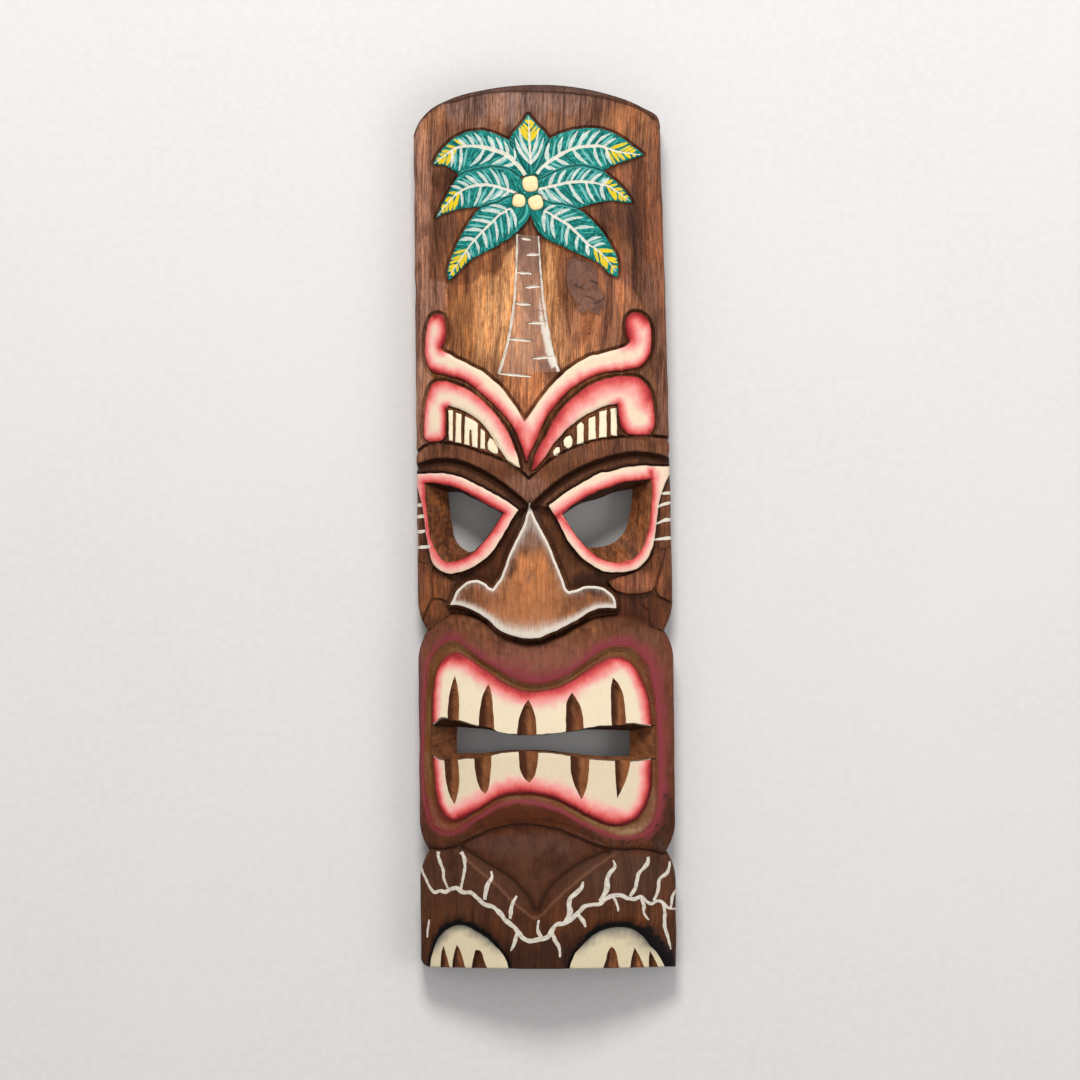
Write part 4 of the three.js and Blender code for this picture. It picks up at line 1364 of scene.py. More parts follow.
def disc(x, y, radius, spacing=0.8):
    """A circle in the picture as an outline on the mask."""
    count = max(int(2 * np.pi * radius / PIXELS_PER_MM / spacing), 12)
    angles = np.linspace(0, 2 * np.pi, count, endpoint=False)
    circle = np.column_stack([np.cos(angles), np.sin(angles)])
    uneven = 1 + 0.05 * np.cos(4 * angles + x) + 0.03 * np.cos(3 * angles + y)
    return millimetres([(x, y)]) + radius / PIXELS_PER_MM * circle * uneven[:, None]


def palm_depth(p):
    """How far inside the leaves taken together each place is."""
    deepest = depth_in(p, disc(*HUB, HUB_RADIUS), 3.0)
    for outline in LEAF_RINGS.values():
        deepest = np.maximum(deepest, depth_in(p, outline, 3.0))
    return deepest


def stretches(line, wanted):
    """The stretches of a closed line whose points are wanted."""
    start = int(np.argmin(wanted))
    line, wanted = np.roll(line, -start, 0), np.roll(wanted, -start)
    breaks = np.flatnonzero(np.diff(wanted.astype(int))) + 1
    return [piece for piece, flags in zip(np.split(line, breaks), np.split(wanted, breaks)) if flags[0]]


def follow_outside(outline, distance):
    """Follows the line beside an outline only where it is outside every leaf."""
    line = beside(outline, distance)
    for piece in stretches(line, palm_depth(line) < -0.8 * distance):
        follow(piece)


def palm_cut(p):
    pick = near(p, np.vstack([*LEAF_RINGS.values()]), 4)
    depth = np.zeros(len(p))
    q = p[pick]
    inner = palm_depth(q)
    within = inner > 0
    cut = LEAF_GROOVE_DEPTH * groove_walls(inner, LEAF_GROOVE * 0.5, LEAF_GROOVE)
    cut = np.maximum(cut, 0.5 * hold(1 - inner) * (inner >= 0))
    for outline in LEAF_RINGS.values():
        cut = np.maximum(cut, 0.5 * hold(1 - np.abs(depth_in(q, outline, 2.0)) / 0.8) * within)
    for line in RIB_LINES.values():
        cut = np.maximum(cut, 0.25 * hold(1 - away_from(q, line, 2.0) / 0.8) * within)
    for x, y, radius in COCONUTS:
        nut = depth_in(q, disc(x, y, radius), 2.0)
        around = 0.9 * hold(1 - np.abs(nut + 0.4) / 0.8)
        cut = np.where(nut > -1.2, np.maximum(around, 0.55 * hold(1 - nut / 1.6) ** 2), cut)
    depth[pick] = cut
    return depth


def petal_root(tip, rib, lean):
    """Where on the rib the petal with this tip starts: it leans back towards the leaf's root."""
    away, where = nearest(tip[None], rib, closed=False)
    return along(rib, np.maximum(where - lean * away / RIB_SPACING, 0))[0]


def leaf_brush(rib):
    """Directions for brush marks that lean like the petals do."""

    def brush(p):
        away, where = nearest(p, rib, closed=False)
        passed = where * RIB_SPACING
        return np.column_stack([passed - 0.75 * away, passed + 1.3 * away, away])

    return brush


def tip_strokes(name, rib, rng):
    """Broad yellow strokes from the last part of a rib to the leaf's edge."""
    outline = LEAF_RINGS[name]
    start = YELLOW_SHARE - 0.3 * (name == "top")
    for share in np.linspace(start, 0.95, 5):
        for side in (-1, 1):
            i = int((share + rng.uniform(-0.02, 0.02)) * (len(rib) - 3))
            ahead = (rib[i + 2] - rib[i]) / np.hypot(*(rib[i + 2] - rib[i]))
            step = 0.8 * ahead + 0.6 * side * np.array([-ahead[1], ahead[0]])
            reach = np.arange(0, 12, 0.4)
            line = rib[i] + reach[:, None] * step
            line = line[:max(int(np.argmin(depth_in(line, outline) > 0.35)), 3)]
            width = rng.uniform(0.7, 1.1)
            paint(ribbon(line, width * np.array([0.9, 1.9, 2.0, 0.8])), YELLOW, cover=rng.uniform(0.88, 1.0))


def make_petals(name, rib, rng):
    """White strokes on both sides of a rib, with teal ones between them."""
    tips = millimetres(PETALS[name])
    lean = 3.0 if name == "top" else 0.75
    for side in (-1, 1):
        mine = [t for t in tips if side_of(t, rib) == side]
        mine.sort(key=lambda t: nearest(t[None], rib, closed=False)[1][0])
        for a, b in zip(mine, mine[1:]):
            tip = (a + b) / 2 + rng.normal(0, 0.3, 2)
            root = petal_root(tip, rib, lean)
            shape = ribbon(even(np.array([root * 0.9 + tip * 0.1, tip]), 0.9), (0.4, 1.3, 1.2, 0.3))
            paint(shape, PALE_TEAL if rng.random() < LIGHT_PETALS else DEEP_TEAL, cover=0.85)
    tip_strokes(name, rib, rng)
    for tip in tips:
        root = petal_root(tip, rib, lean)
        across = np.array([root[1] - tip[1], tip[0] - root[0]])
        bend = (root + tip) / 2 + 0.07 * side_of(tip, rib) * across + rng.normal(0, 0.15, 2)
        widths = np.array((1.2, 1.8, 2.2, 1.6, 0.5)) * rng.uniform(0.75, 1.12)
        shape = ribbon(smooth(np.array([root, bend, tip]), 0.7), widths)
        paint(shape, PETAL, cover=patchy(0.84, 0.12, 2.5, 47))


def side_of(tip, rib):
    _, where = nearest(tip[None], rib, closed=False)
    i = min(int(where[0]), len(rib) - 2)
    step, away = rib[i + 1] - rib[i], tip - rib[i]
    return 1 if step[0] * away[1] - step[1] * away[0] > 0 else -1


def make_seams(name):
    """Dark and light strokes where a leaf lies on its neighbours."""
    line = LEAF_RINGS[name]
    inner = np.full(len(line), -1.0)
    for other, outline in LEAF_RINGS.items():
        if other != name:
            inner = np.maximum(inner, depth_in(line, outline, 2.0))
    for piece in stretches(line, inner > -0.6):
        if len(piece) > 4:
            paint(ribbon(piece, (0.8, 1.8, 1.8, 0.8)), SEAM_DARK)
            light = beside(piece, 0.8, closed=False)
            if len(light) > 3:
                paint(ribbon(light, (0.3, 0.9, 0.9, 0.3)), SEAM_LIGHT, cover=0.8)


def make_palm():
    rng = np.random.default_rng(17)
    CUTS.append(palm_cut)
    hub = disc(*HUB, HUB_RADIUS)
    paint(hub, HUB_TEAL, leaf=leaf_brush(hub))
    for name, outline in LEAF_RINGS.items():
        for distance in (LEAF_GROOVE * 0.5, LEAF_GROOVE):
            follow_outside(outline, distance)
        stain_and_shade(outline, 0.2, 0.3, 0.85)
        stain_and_shade(beside(outline, LEAF_GROOVE), 0.1, 0.3, 0.5)
        stain_and_shade(outline, 1.0, 3.0, 0.12)
        paint(outline, TEAL, leaf=leaf_brush(RIB_LINES[name]))
    for name in LEAVES:
        make_seams(name)
    for name, rib in RIB_LINES.items():
        make_petals(name, rib, rng)
        width = RIB_WIDTHS[name]
        paint(ribbon(rib, (0.8 * width, width, width, 0.8 * width, 0.5 * width, 0.4)), RIB, cover=0.93)
    for x, y, radius in COCONUTS:
        follow(disc(x, y, radius + 2.2), closed=True)
        paint(disc(x, y, radius + 1.6), NUT_SHADE, cover=0.85)
        paint(disc(x, y, radius + 0.5), NUT_EDGE)
        follow(disc(x, y, radius - 2.6), closed=True)
        paint(disc(x, y, radius), COCONUT)


def make_knot():
    outline = ring(KNOT_EDGE)

    def inner(p):
        return fade((depth_in(p, outline) - 0.3 * ripple(p, 4, 65)) / 0.6)

    def blotches(p):
        return fade(0.9 * ripple(p, 12, 65) + 0.7 * ripple(p, 2.6, 66))

    stain_and_shade(outline, 0.1, 0.5, 0.4)
    paint(outline, KNOT_GREY, cover=lambda p: (0.7 + 0.25 * ripple(p, 3, 66)) * inner(p), dry=0.85)
    paint(outline, KNOT_DARK, cover=lambda p: 0.4 * blotches(p) * inner(p), crisp=False, dry=0.9)
    CUTS.append(lambda p: np.abs(0.35 * ripple(p, 3.5, 67)) * inner(p))
    for places in KNOT_CRACKS:
        groove(path(places, 0.7), 1.0, 0.7, strength=0.8, fading=0.5)


def make_trunk():
    groove(path(TRUNK_TOP), 1.2, 0.6, strength=0.6)
    paint(ring(TRUNK_LEFT + TRUNK_RIGHT[::-1], 40), TRUNK_GREY, cover=0.3, dry=0.7)
    for places in (TRUNK_LEFT, TRUNK_RIGHT):
        groove(path(places), 1.5, 0.7, strength=0.4)
        stroke(places, (0.9, 1.2, 1.5, 1.5), WHITE, 0.8, cover=patchy(0.78, 0.15, 7, 46), dry=0.2)
    for places in TRUNK_TICKS:
        groove(path(places), 1.4, 0.7, strength=0.35)
        stroke(places, (0.6, 1.6, 1.4, 0.7), WHITE, 0.6, cover=0.85, dry=0.2)
    wash = ribbon(path(TRUNK_WASH, 0.8), (1.5, 3.0, 5.0, 5.6, 5.0))
    paint(wash, WHITE, cover=lambda p: 0.75 * fade(depth_in(p, wash) / 1.6), crisp=False, dry=0.6)


# The colours of the wood

WOOD_BANDS = [
    (85, "#6b4a3c"), (115, "#7d553f"), (200, "#754a33"), (300, "#80502f"), (400, "#7c4f33"),
    (450, "#6a432c"), (500, "#704428"), (560, "#633a20"), (620, "#6b4127"), (660, "#744632"),
    (700, "#6a3c2a"), (790, "#66391f"), (815, "#512811"), (840, "#5c3016"), (870, "#503020"),
    (920, "#4e2b16"), (968, "#3a2012"),
]  # down the middle of the mask
WOOD_PATCHES = [
    ((437, 112), (14, 9), "#94603f", 0.5), ((428, 135), (8, 20), "#80563f", 0.5),
    ((628, 122), (18, 18), "#ab7048", 0.75), ((500, 104), (44, 14), "#8a6c60", 0.85),
    # The thin dark patch at (520, 92) is painted shade on the crown's bevel.
    ((565, 100), (26, 10), "#8a695c", 0.7), ((520, 92), (30, 3), "#5b4038", 0.6),
    ((492, 318), (17, 60), "#bd885c", 0.85), ((466, 300), (9, 60), "#a06a40", 0.6),
    ((480, 268), (24, 16), "#a86c40", 0.5), ((526, 320), (10, 60), "#bd8860", 0.95),
    ((549, 290), (7, 60), "#b97f4c", 0.6), ((572, 345), (24, 26), "#a8714e", 0.85),
    ((525, 396), (20, 24), "#b5764f", 0.9), ((490, 372), (26, 14), "#8d5a3a", 0.5),
    ((612, 296), (20, 40), "#96624a", 0.8), ((604, 262), (22, 20), "#7a5038", 0.5),
    ((588, 328), (24, 14), "#8f5d42", 0.7), ((639, 235), (6, 85), "#472a1b", 0.75),
    ((655, 250), (7, 120), "#7d5038", 0.6), ((622, 225), (22, 16), "#563422", 0.7),
    ((662, 300), (6, 160), "#7f4e36", 0.7), ((620, 175), (40, 16), "#6a4430", 0.4),
    ((420, 250), (9, 180), "#a07560", 0.8), ((437, 270), (7, 50), "#6b442f", 0.5),
    ((446, 232), (16, 10), "#5c3a2a", 0.8), ((446, 180), (14, 6), "#4e2f20", 0.8),
    ((620, 340), (12, 24), "#83543a", 0.6), ((520, 245), (24, 6), "#5f3a28", 0.4),
    ((645, 330), (10, 40), "#5d3a28", 0.5), ((478, 457), (50, 6), "#744630", 0.7),
    ((590, 449), (52, 7), "#6d4633", 0.7), ((530, 492), (16, 16), "#7d5646", 0.85),
    ((460, 474), (44, 5), "#5c3420", 0.6), ((590, 470), (60, 6), "#5c3420", 0.6),
    ((530, 590), (26, 36), "#c88250", 0.95), ((530, 600), (54, 26), "#95603c", 0.7),
    ((530, 622), (40, 12), "#a56c46", 0.7), ((529, 532), (9, 22), "#7b5c4e", 0.9),
    ((475, 600), (16, 10), "#7f5138", 0.6), ((592, 600), (14, 9), "#7f5138", 0.6),
    ((440, 600), (18, 24), "#87512f", 0.85), ((424, 590), (6, 40), "#7d4b30", 0.6),
    ((636, 583), (20, 9), "#955c40", 0.95), ((645, 612), (24, 14), "#522a14", 0.9),
    ((666, 590), (5, 40), "#70422a", 0.6), ((592, 583), (14, 9), "#2a150a", 0.95),
    ((480, 577), (18, 5), "#3a1c0c", 0.85), ((487, 568), (12, 12), "#5a2f16", 0.9),
    ((560, 548), (14, 22), "#5e3419", 0.7), ((507, 545), (8, 26), "#5a3016", 0.7),
    ((530, 657), (56, 12), "#855240", 0.8), ((440, 640), (14, 10), "#643a2e", 0.7),
    ((640, 640), (20, 10), "#6b4434", 0.7), ((667, 740), (5, 80), "#6b3a28", 0.8),
    ((420, 740), (4, 80), "#6c4440", 0.8), ((664, 830), (10, 16), "#3c2113", 0.7),
    ((430, 838), (12, 10), "#4c2c18", 0.7), ((520, 818), (60, 8), "#4c220c", 0.8),
    ((530, 845), (50, 10), "#5c3c30", 0.9), ((533, 882), (16, 18), "#5c3724", 0.9),
    ((450, 870), (26, 18), "#4c2e20", 0.8), ((500, 905), (20, 14), "#4a2d20", 0.6),
    ((635, 872), (34, 16), "#523628", 0.8), ((590, 925), (44, 10), "#573014", 0.8),
    ((640, 915), (26, 8), "#5a3217", 0.8), ((450, 915), (20, 8), "#50301c", 0.5),
    ((540, 955), (26, 16), "#351c0f", 0.9), ((530, 928), (20, 12), "#4c2913", 0.7),
]  # middle, half sizes, colour and strength
WOOD_SHAPES = [
    (
        [
            (448, 290), (468, 286.5), (477, 283), (481, 277), (488, 275.5), (495, 276.5), (501, 270),
            (506, 258), (518, 240), (462, 268), (449, 282),
        ],
        "#70442c", 0.7,
    ),
    (
        [
            (478, 279), (483, 276.5), (490, 278), (492, 300), (491, 330), (493, 352), (487, 366),
            (478, 362), (475, 330), (478, 300),
        ],
        "#cc9361", 0.6,
    ),
    (
        [
            (497, 276), (504, 262), (510, 252), (517, 247), (508, 335), (502, 358), (499, 352), (495, 320),
            (498, 300),
        ],
        "#cf9765", 0.75,
    ),
    (
        [
            (541, 246), (548, 246), (554, 262), (557, 290), (562, 320), (568, 350), (566, 372), (559, 368),
            (552, 345), (545, 305), (541, 268),
        ],
        "#c58c5c", 0.6,
    ),
    ([(619, 283), (628, 287), (640, 300), (642, 318), (634, 311), (624, 318), (618, 305)], "#ab714c", 0.6),
    (
        [(643, 262), (672, 262), (673, 440), (655, 440), (655, 400), (653, 340), (650, 320), (645, 310)],
        "#74503f", 0.6,
    ),
    ([(634, 140), (640, 160), (648, 162), (649, 265), (640, 262), (633, 240), (632, 205)], "#4f2e20", 0.65),
    ([(599, 207), (612, 205), (632, 207), (633, 222), (625, 229), (612, 226)], "#583a2e", 0.65),
    ([(606, 176), (630, 165), (632, 186), (628, 194), (619, 184)], "#9a5f41", 0.5),
    (
        [
            (413, 275), (447, 283), (447.5, 350), (444, 352), (440, 315), (430, 318), (425, 340),
            (424, 372), (413, 372),
        ],
        "#946b59", 0.65,
    ),
    ([(499, 92), (527, 95), (524, 118), (516, 128), (502, 130), (497, 112)], "#927468", 0.6),
    ([(466, 97), (488, 96), (486, 112), (476, 120), (465, 112)], "#6c5047", 0.55),
    ([(424, 118), (437, 106), (446, 108), (442, 122), (424, 134)], "#a06f4c", 0.5),
    ([(432, 168), (450, 172), (457, 178), (440, 200), (434, 190)], "#56341f", 0.6),
]  # outline, colour and strength of the wood's streaks and spots with clear edges
SMOOTH_WOOD = [
    ((540, 740), (150, 112), 0.82), ((533, 868), (60, 34), 0.7), ((530, 470), (130, 22), 0.3),
    ((540, 915), (150, 50), 0.35), ((530, 570), (46, 56), 0.5),
]  # where the grain hardly shows: middle, half sizes and strength
KNOT = (587, 290)
KNOT_EDGE = [
    (567.5, 260), (575, 259.5), (582.5, 261), (591, 264), (596.5, 270), (599.5, 288), (604.5, 298),
    (604.5, 308), (600, 316.5), (592, 315), (587, 312.5), (582.5, 316.5), (577.5, 311.5), (573.5, 301.5),
    (569, 293), (565.5, 272),
]
KNOT_CRACKS = [
    [(586.5, 298), (591.5, 300), (596.5, 303), (601, 302), (604.5, 299)], [(594, 305), (598, 304.5)],
    [(590.5, 282), (596, 285)], [(575, 287.5), (582, 290)], [(578, 262.5), (583, 263.5)],
]
KNOT_REACH = 24.0


WOOD_RINGS = [(ring(places, 60), colour, strength) for places, colour, strength in WOOD_SHAPES]


def half_sizes_from(p, middle, sizes):
    """How far each place is from a middle in the picture, in half sizes across and along."""
    return (p - millimetres([middle])) * PIXELS_PER_MM / np.array(sizes)


def wood_at(p):
    """The wood's colour, with a patch of painted shade on the crown, without the stain and shade near the
    carved lines.
    """
    low = np.array([(MIDDLE[1] - y) / PIXELS_PER_MM for y, _ in WOOD_BANDS])[::-1]
    tones = np.array([linear(colour) for _, colour in WOOD_BANDS])[::-1]
    wood = np.column_stack([np.interp(p[:, 1], low, tones[:, k]) for k in range(3)])
    uneven = 1 + 0.22 * ripple(p * (1, 0.3), 14, 61) + 0.2 * ripple(p * (1, 0.3), 5, 62)
    for middle, sizes, colour, strength in WOOD_PATCHES:
        away = np.hypot(*half_sizes_from(p, middle, sizes).T)
        share = strength * fade((1.75 - away * uneven) / 1.1)
        wood += (linear(colour) - wood) * share[:, None]
    frayed = 0.7 * ripple(p * (1, 0.25), 2.2, 75) + 0.5 * ripple(p, 6, 76)
    for outline, colour, strength in WOOD_RINGS:
        share = strength * fade((depth_in(p, outline, 3.0) + frayed + 0.3) / 1.3)
        wood += (linear(colour) - wood) * share[:, None]
    return wood


def stain_and_shade_at(p):
    """How dark the soft stains and painted shade are at each place, how far off the nearest thin line is,
    and its strength.
    """
    clear = np.ones(len(p))
    gap, thin = np.full(len(p), 6.0), np.zeros(len(p))
    ragged = (1 + 0.35 * ripple(p, 2.6, 63) + 0.3 * ripple(p, 8, 64)).clip(0.3)
    for line, closed, reach, fading, strength in STAINS_AND_SHADES:
        pick = np.flatnonzero(near(p, line, reach + 6 * fading))
        away = nearest(p[pick], line, closed)[0]
        if fading < THIN:
            off = (away - reach) / fading
            closer = off < gap[pick]
            gap[pick[closer]] = off[closer]
            thin[pick[closer]] = strength
        else:
            share = (np.clip(away * ragged[pick] - reach, 0, None) / fading) ** 1.25
            clear[pick] *= 1 - strength * np.exp(-share)
    return 1 - clear, gap, thin


def grain_at(p):
    """Places in the grain: along the board, wavy, and bent round the knot."""
    x, y, z = p.T
    flat = np.column_stack([x, y])
    wave = 1.2 * ripple(flat * (0.2, 1), 170, 71) + 0.15 * ripple(flat * (0.5, 1), 40, 72)
    knot = millimetres([KNOT])[0]
    dx, dy = x - knot[0], (y - knot[1]) * 0.55
    away = np.hypot(dx, dy)
    bend = 5.0 * np.exp(-((away / KNOT_REACH) ** 2)) * np.tanh(dx / 4.0)
    front = np.minimum(z, face_at(np.clip(x, -70, 70)))
    return np.column_stack([x + wave - bend, y, np.where(z > 20, front * 0.12 + 20, z)])


# The mesh


def front_height(p):
    """Height of the carved front."""
    face = face_at(p[:, 0])
    depth = np.zeros(len(p))
    for cut in CUTS:
        depth = np.maximum(depth, cut(p))
    z = face + 0.1 * ripple(p, 26, 51) - 0.12 - depth
    for outline, (hole, _) in zip(RIMS, HOLES):
        inner = depth_in(p, outline)
        edge = 0.45 * hold(1 - inner / 0.9) ** 2 + 0.4 * hold(1 + depth_in(p, hole) / 0.7) ** 2
        z = raised(z, face - RIM_DEPTH - edge, inner, fade((inner + 1.1) / 1.1))
    inner = depth_in(p, NOSE)
    level = nose_height(p) - 0.5 * hold(1 - inner / 1.3) ** 2
    z = raised(z, level, inner, hold(1 + inner / NOSE_WALL) ** 1.3)
    return edge_height(p, z)


def triangles(lines, spacing, outer, holes):
    """A flat mesh that follows the lines inside the outer line and outside the holes."""
    points, edges, start = [], [], 0
    for line, closed in lines:
        points.append(line)
        ahead = np.arange(start, start + len(line) - 1)
        edges += np.column_stack([ahead, ahead + 1]).tolist()
        if closed:
            edges.append([start + len(line) - 1, start])
        start += len(line)
    points = np.vstack(points)
    tree = kdtree.KDTree(len(points))
    for i, (x, y) in enumerate(points):
        tree.insert((x, y, 0), i)
    tree.balance()
    low, high = outer.min(0), outer.max(0)
    rows = np.arange(low[1], high[1], spacing * ROW_STEP)
    columns = np.arange(low[0], high[0], spacing)
    x, y = np.meshgrid(columns, rows)
    x = x + (np.arange(len(rows)) % 2)[:, None] * spacing / 2
    fill = np.column_stack([x.ravel(), y.ravel()])
    fill = fill[inside(fill, outer)]
    fill = fill[[tree.find((a, b, 0))[2] > spacing * CLEARANCE for a, b in fill]]
    places = [Vector(q) for q in np.vstack([points, fill])]
    found, _, faces, *_ = delaunay_2d_cdt(places, edges, [], 0, 1e-5)
    found = np.array([tuple(q) for q in found])
    faces = np.array([f for f in faces if len(f) == 3])
    middles = found[faces].mean(1)
    keep = inside(middles, outer)
    for hole in holes:
        keep &= ~inside(middles, hole)
    a, b, c = (found[faces[:, k]] for k in range(3))
    area = (b[:, 0] - a[:, 0]) * (c[:, 1] - a[:, 1]) - (b[:, 1] - a[:, 1]) * (c[:, 0] - a[:, 0])
    keep &= np.abs(area) > 1e-7
    faces = np.where(area[:, None] < 0, faces[:, ::-1], faces)[keep]
    used, faces = np.unique(faces, return_inverse=True)
    return found[used], faces.reshape(-1, 3)


def loops(faces):
    """The open edges of a mesh as closed loops of its points."""
    pairs = np.vstack([faces[:, (0, 1)], faces[:, (1, 2)], faces[:, (2, 0)]])
    known = {tuple(pair) for pair in pairs.tolist()}
    after = {a: b for a, b in known if (b, a) not in known}
    found = []
    while after:
        start = next(iter(after))
        loop, at = [start], after.pop(start)
        while at != start:
            loop.append(at)
            at = after.pop(at)
        found.append(loop)
    return found


def strip(rows, start):
    """The two triangles of each cell between rows of points round a loop."""
    faces = []
    count = rows[0].shape[0]
    here = np.arange(count)
    ahead = (here + 1) % count
    for k in range(len(rows) - 1):
        a, b = start + k * count, start + (k + 1) * count
        faces.append(np.column_stack([a + here, b + here, b + ahead]))
        faces.append(np.column_stack([a + here, b + ahead, a + ahead]))
    return np.vstack(rows), np.vstack(faces)


def side_rows(top):
    """Rows of points from the front's edge down to the back, where the edge is a little rounded."""
    rows = []
    for share in np.linspace(0, 1, 7):
        row = top.copy()
        row[:, 2] = top[:, 2] * (1 - share) + 0.7 * share
        worn = 0.14 * (1 + ripple(np.column_stack([top[:, 1], row[:, 2] * 3]), 19, 81))
        row[:, 0] -= np.sign(row[:, 0]) * worn * np.sin(np.pi * share) * (np.abs(row[:, 1]) < 240)
        rows.append(row)
    foot = top.copy()
    foot[:, :2] *= 1 - 0.6 / np.abs(top[:, :2]).max(0)
    foot[:, 2] = 0
    return [*rows, foot]


def hole_rows(top, front, back):
    """Rows of points down the wall of a hole, from the front's loop to the hollow."""
    _, where = nearest(top[:, :2], front, closed=True)
    foot = along(np.vstack([back, back[:1]]), where)
    foot_z = np.maximum(hollow_height(foot), HOLE_FOOT)
    rows = []
    for share in np.linspace(0, 1, 10):
        flat = top[:, :2] * (1 - share) + foot * share
        z = top[:, 2] * (1 - share) + foot_z * share
        gouge = 0.45 * ripple(np.column_stack([where * 0.7, z * 0.6]), 9, 91) * np.sin(np.pi * share)
        inward = foot.mean(0) - flat
        flat = flat - inward / np.maximum(np.hypot(*inward.T), 1e-6)[:, None] * gouge[:, None]
        rows.append(np.column_stack([flat, z]))
    return rows


def hollow_rings():
    """Lines on the back round the hollow and down its sides."""
    angles = np.linspace(0, 2 * np.pi, 700, endpoint=False)
    power = 2 / HOLLOW_PLAN_ROUNDNESS
    x, y = (np.sign(turn) * np.abs(turn) ** power for turn in (np.cos(angles), np.sin(angles)))
    rings = []
    for level in (0.0, 0.02, 0.05, 0.1, 0.16, 0.24):
        size = (1 - level) ** (1 / HOLLOW_PLAN_ROUNDNESS)
        line = np.column_stack([HOLLOW_HALF_WIDTH * size * x, HOLLOW_MIDDLE + HOLLOW_HALF_LENGTH * size * y])
        rings.append(even(np.vstack([line, line[:1]]), 2.4)[:-1])
    return rings


# Each hole's outline in the front and in the hollow: the two eyes and the mouth.
HOLES = [sides_of(LEFT_HOLE, LEFT_HOLE_BACK), sides_of(RIGHT_HOLE, RIGHT_HOLE_BACK), SLOT_RINGS]
FRONT, SIDE, WALL, BACK = range(4)


def mask_mesh():
    """All the points, the faces and which part of the mask each face belongs to."""
    for hole, _ in HOLES:
        follow_beside(hole, (0, 0.7))
    follow_beside(BOARD, (0, -0.5, -1.2, -EDGE_ROUNDING, -3.6, -4.8))
    flat, faces = triangles(LINES, COARSE, BOARD, [hole for hole, _ in HOLES])
    points = [np.column_stack([flat, front_height(flat)])]
    all_faces, parts = [faces], [np.full(len(faces), FRONT)]
    feet = []
    count = len(flat)
    for loop in sorted(loops(faces), key=len, reverse=True):
        top = points[0][loop]
        if feet:
            hole = min(HOLES, key=lambda h: np.hypot(*(h[0].mean(0) - top[:, :2].mean(0))))
            rows, part = hole_rows(top, *hole), WALL
        else:
            rows, part = side_rows(top), SIDE
        feet.append(rows[-1][:, :2])
        more, strips = strip(rows, count)
        points.append(more)
        all_faces.append(strips)
        parts.append(np.full(len(strips), part))
        count += len(more)
    outer, *back_holes = feet
    lines = [(line, True) for line in [*hollow_rings(), *feet]]
    flat, faces = triangles(lines, BACK_COARSE, outer, back_holes)
    z = hollow_height(flat)
    for hole in back_holes:
        z = np.where(depth_in(flat, hole, 0.5) > -0.01, np.maximum(z, HOLE_FOOT), z)
    points.append(np.column_stack([flat, z]))
    all_faces.append(faces[:, ::-1] + count)
    parts.append(np.full(len(faces), BACK))
    low, high = (1000 * np.array(corner) for corner in cad_box)
    inset = np.array([0.005, 0.005, 0])
    return np.clip(np.vstack(points), low + inset, high - inset), np.vstack(all_faces), np.concatenate(parts)


def weld(points, faces, parts):
    """Joins the points that are in the same place and drops the faces that have no area."""
    _, first, same = np.unique(np.round(points, 3), axis=0, return_index=True, return_inverse=True)
    faces = same.reshape(-1)[faces]
    real = (faces[:, 0] != faces[:, 1]) & (faces[:, 1] != faces[:, 2]) & (faces[:, 2] != faces[:, 0])
    return points[first], faces[real], parts[real]


def lay_paint(points, faces, parts):
    """The colour, cover, shade and brush marks of the paint at each face's corners."""
    flat = points[:, :2]
    front = np.flatnonzero(parts == FRONT)
    middles = flat[faces[front]].mean(1)
    colour = np.zeros((len(faces), 3, 3))
    cover = np.zeros((len(faces), 3))
    shade = np.zeros((len(faces), 3, 4))
    brush = points[faces].copy()
    for patch in PAINTS:
        rows = near(middles, patch["outline"], 0)
        rows[rows] = inside(middles[rows], patch["outline"])
        rows = front[rows]
        if len(rows) == 0:
            continue
        used, at = np.unique(faces[rows], return_inverse=True)
        at = at.reshape(-1, 3)
        p = flat[used]
        here = patch["cover"](p) if callable(patch["cover"]) else np.full(len(p), patch["cover"])
        red = patch["blush"](p) if patch["blush"] else np.zeros(len(p))
        leaf = float(patch["leaf"] is not None)
        kind = np.column_stack([red, np.full((len(p), 3), (leaf, 0.0, patch["dry"]))])
        share = here[at]
        total = share + cover[rows] * (1 - share)
        weight = (share / np.maximum(total, 1e-6))[..., None]
        colour[rows] += (patch["colour"] - colour[rows]) * weight
        shade[rows] += (kind[at] - shade[rows]) * weight
        cover[rows] = total
        if patch["leaf"]:
            brush[rows] = patch["leaf"](p)[at]
    cover[gap_faces(points, faces, parts)] = 0
    return np.concatenate([colour, cover[..., None]], 2), shade, brush


def gap_faces(points, faces, parts):
    """The faces in the gaps between the teeth and between the toes."""
    middles = points[faces, :2].mean(1)
    found = np.zeros(len(faces), bool)
    for outline in GAPS + TOES:
        rows = near(middles, outline, 0) & (parts == FRONT)
        rows[rows] = inside(middles[rows], outline)
        found |= rows
    return found


def gap_light_and_shade(p):
    """Painted shade on the left wall of each gap and painted light on the golden right one."""
    tone = np.zeros(len(p))
    for outline in GAPS + TOES:
        width = outline[:, 0].max() - outline[:, 0].min()
        here = (p[:, 0] - outline[:, 0].mean()) / width + 0.07 * ripple(p * (1, 0.4), 4, 68)
        tone = np.where(depth_in(p, outline, 0.5) > -0.3, fade(0.55 + 3.0 * here), tone)
    return linear("#3c1f0f") + (linear("#96603a") - linear("#3c1f0f")) * tone[:, None]


def add_attribute(mesh, name, kind, domain, values):
    attribute = mesh.attributes.new(name, kind, domain)
    field = "vector" if kind == "FLOAT_VECTOR" else "color"
    attribute.data.foreach_set(field, np.ascontiguousarray(values, np.float32).ravel())


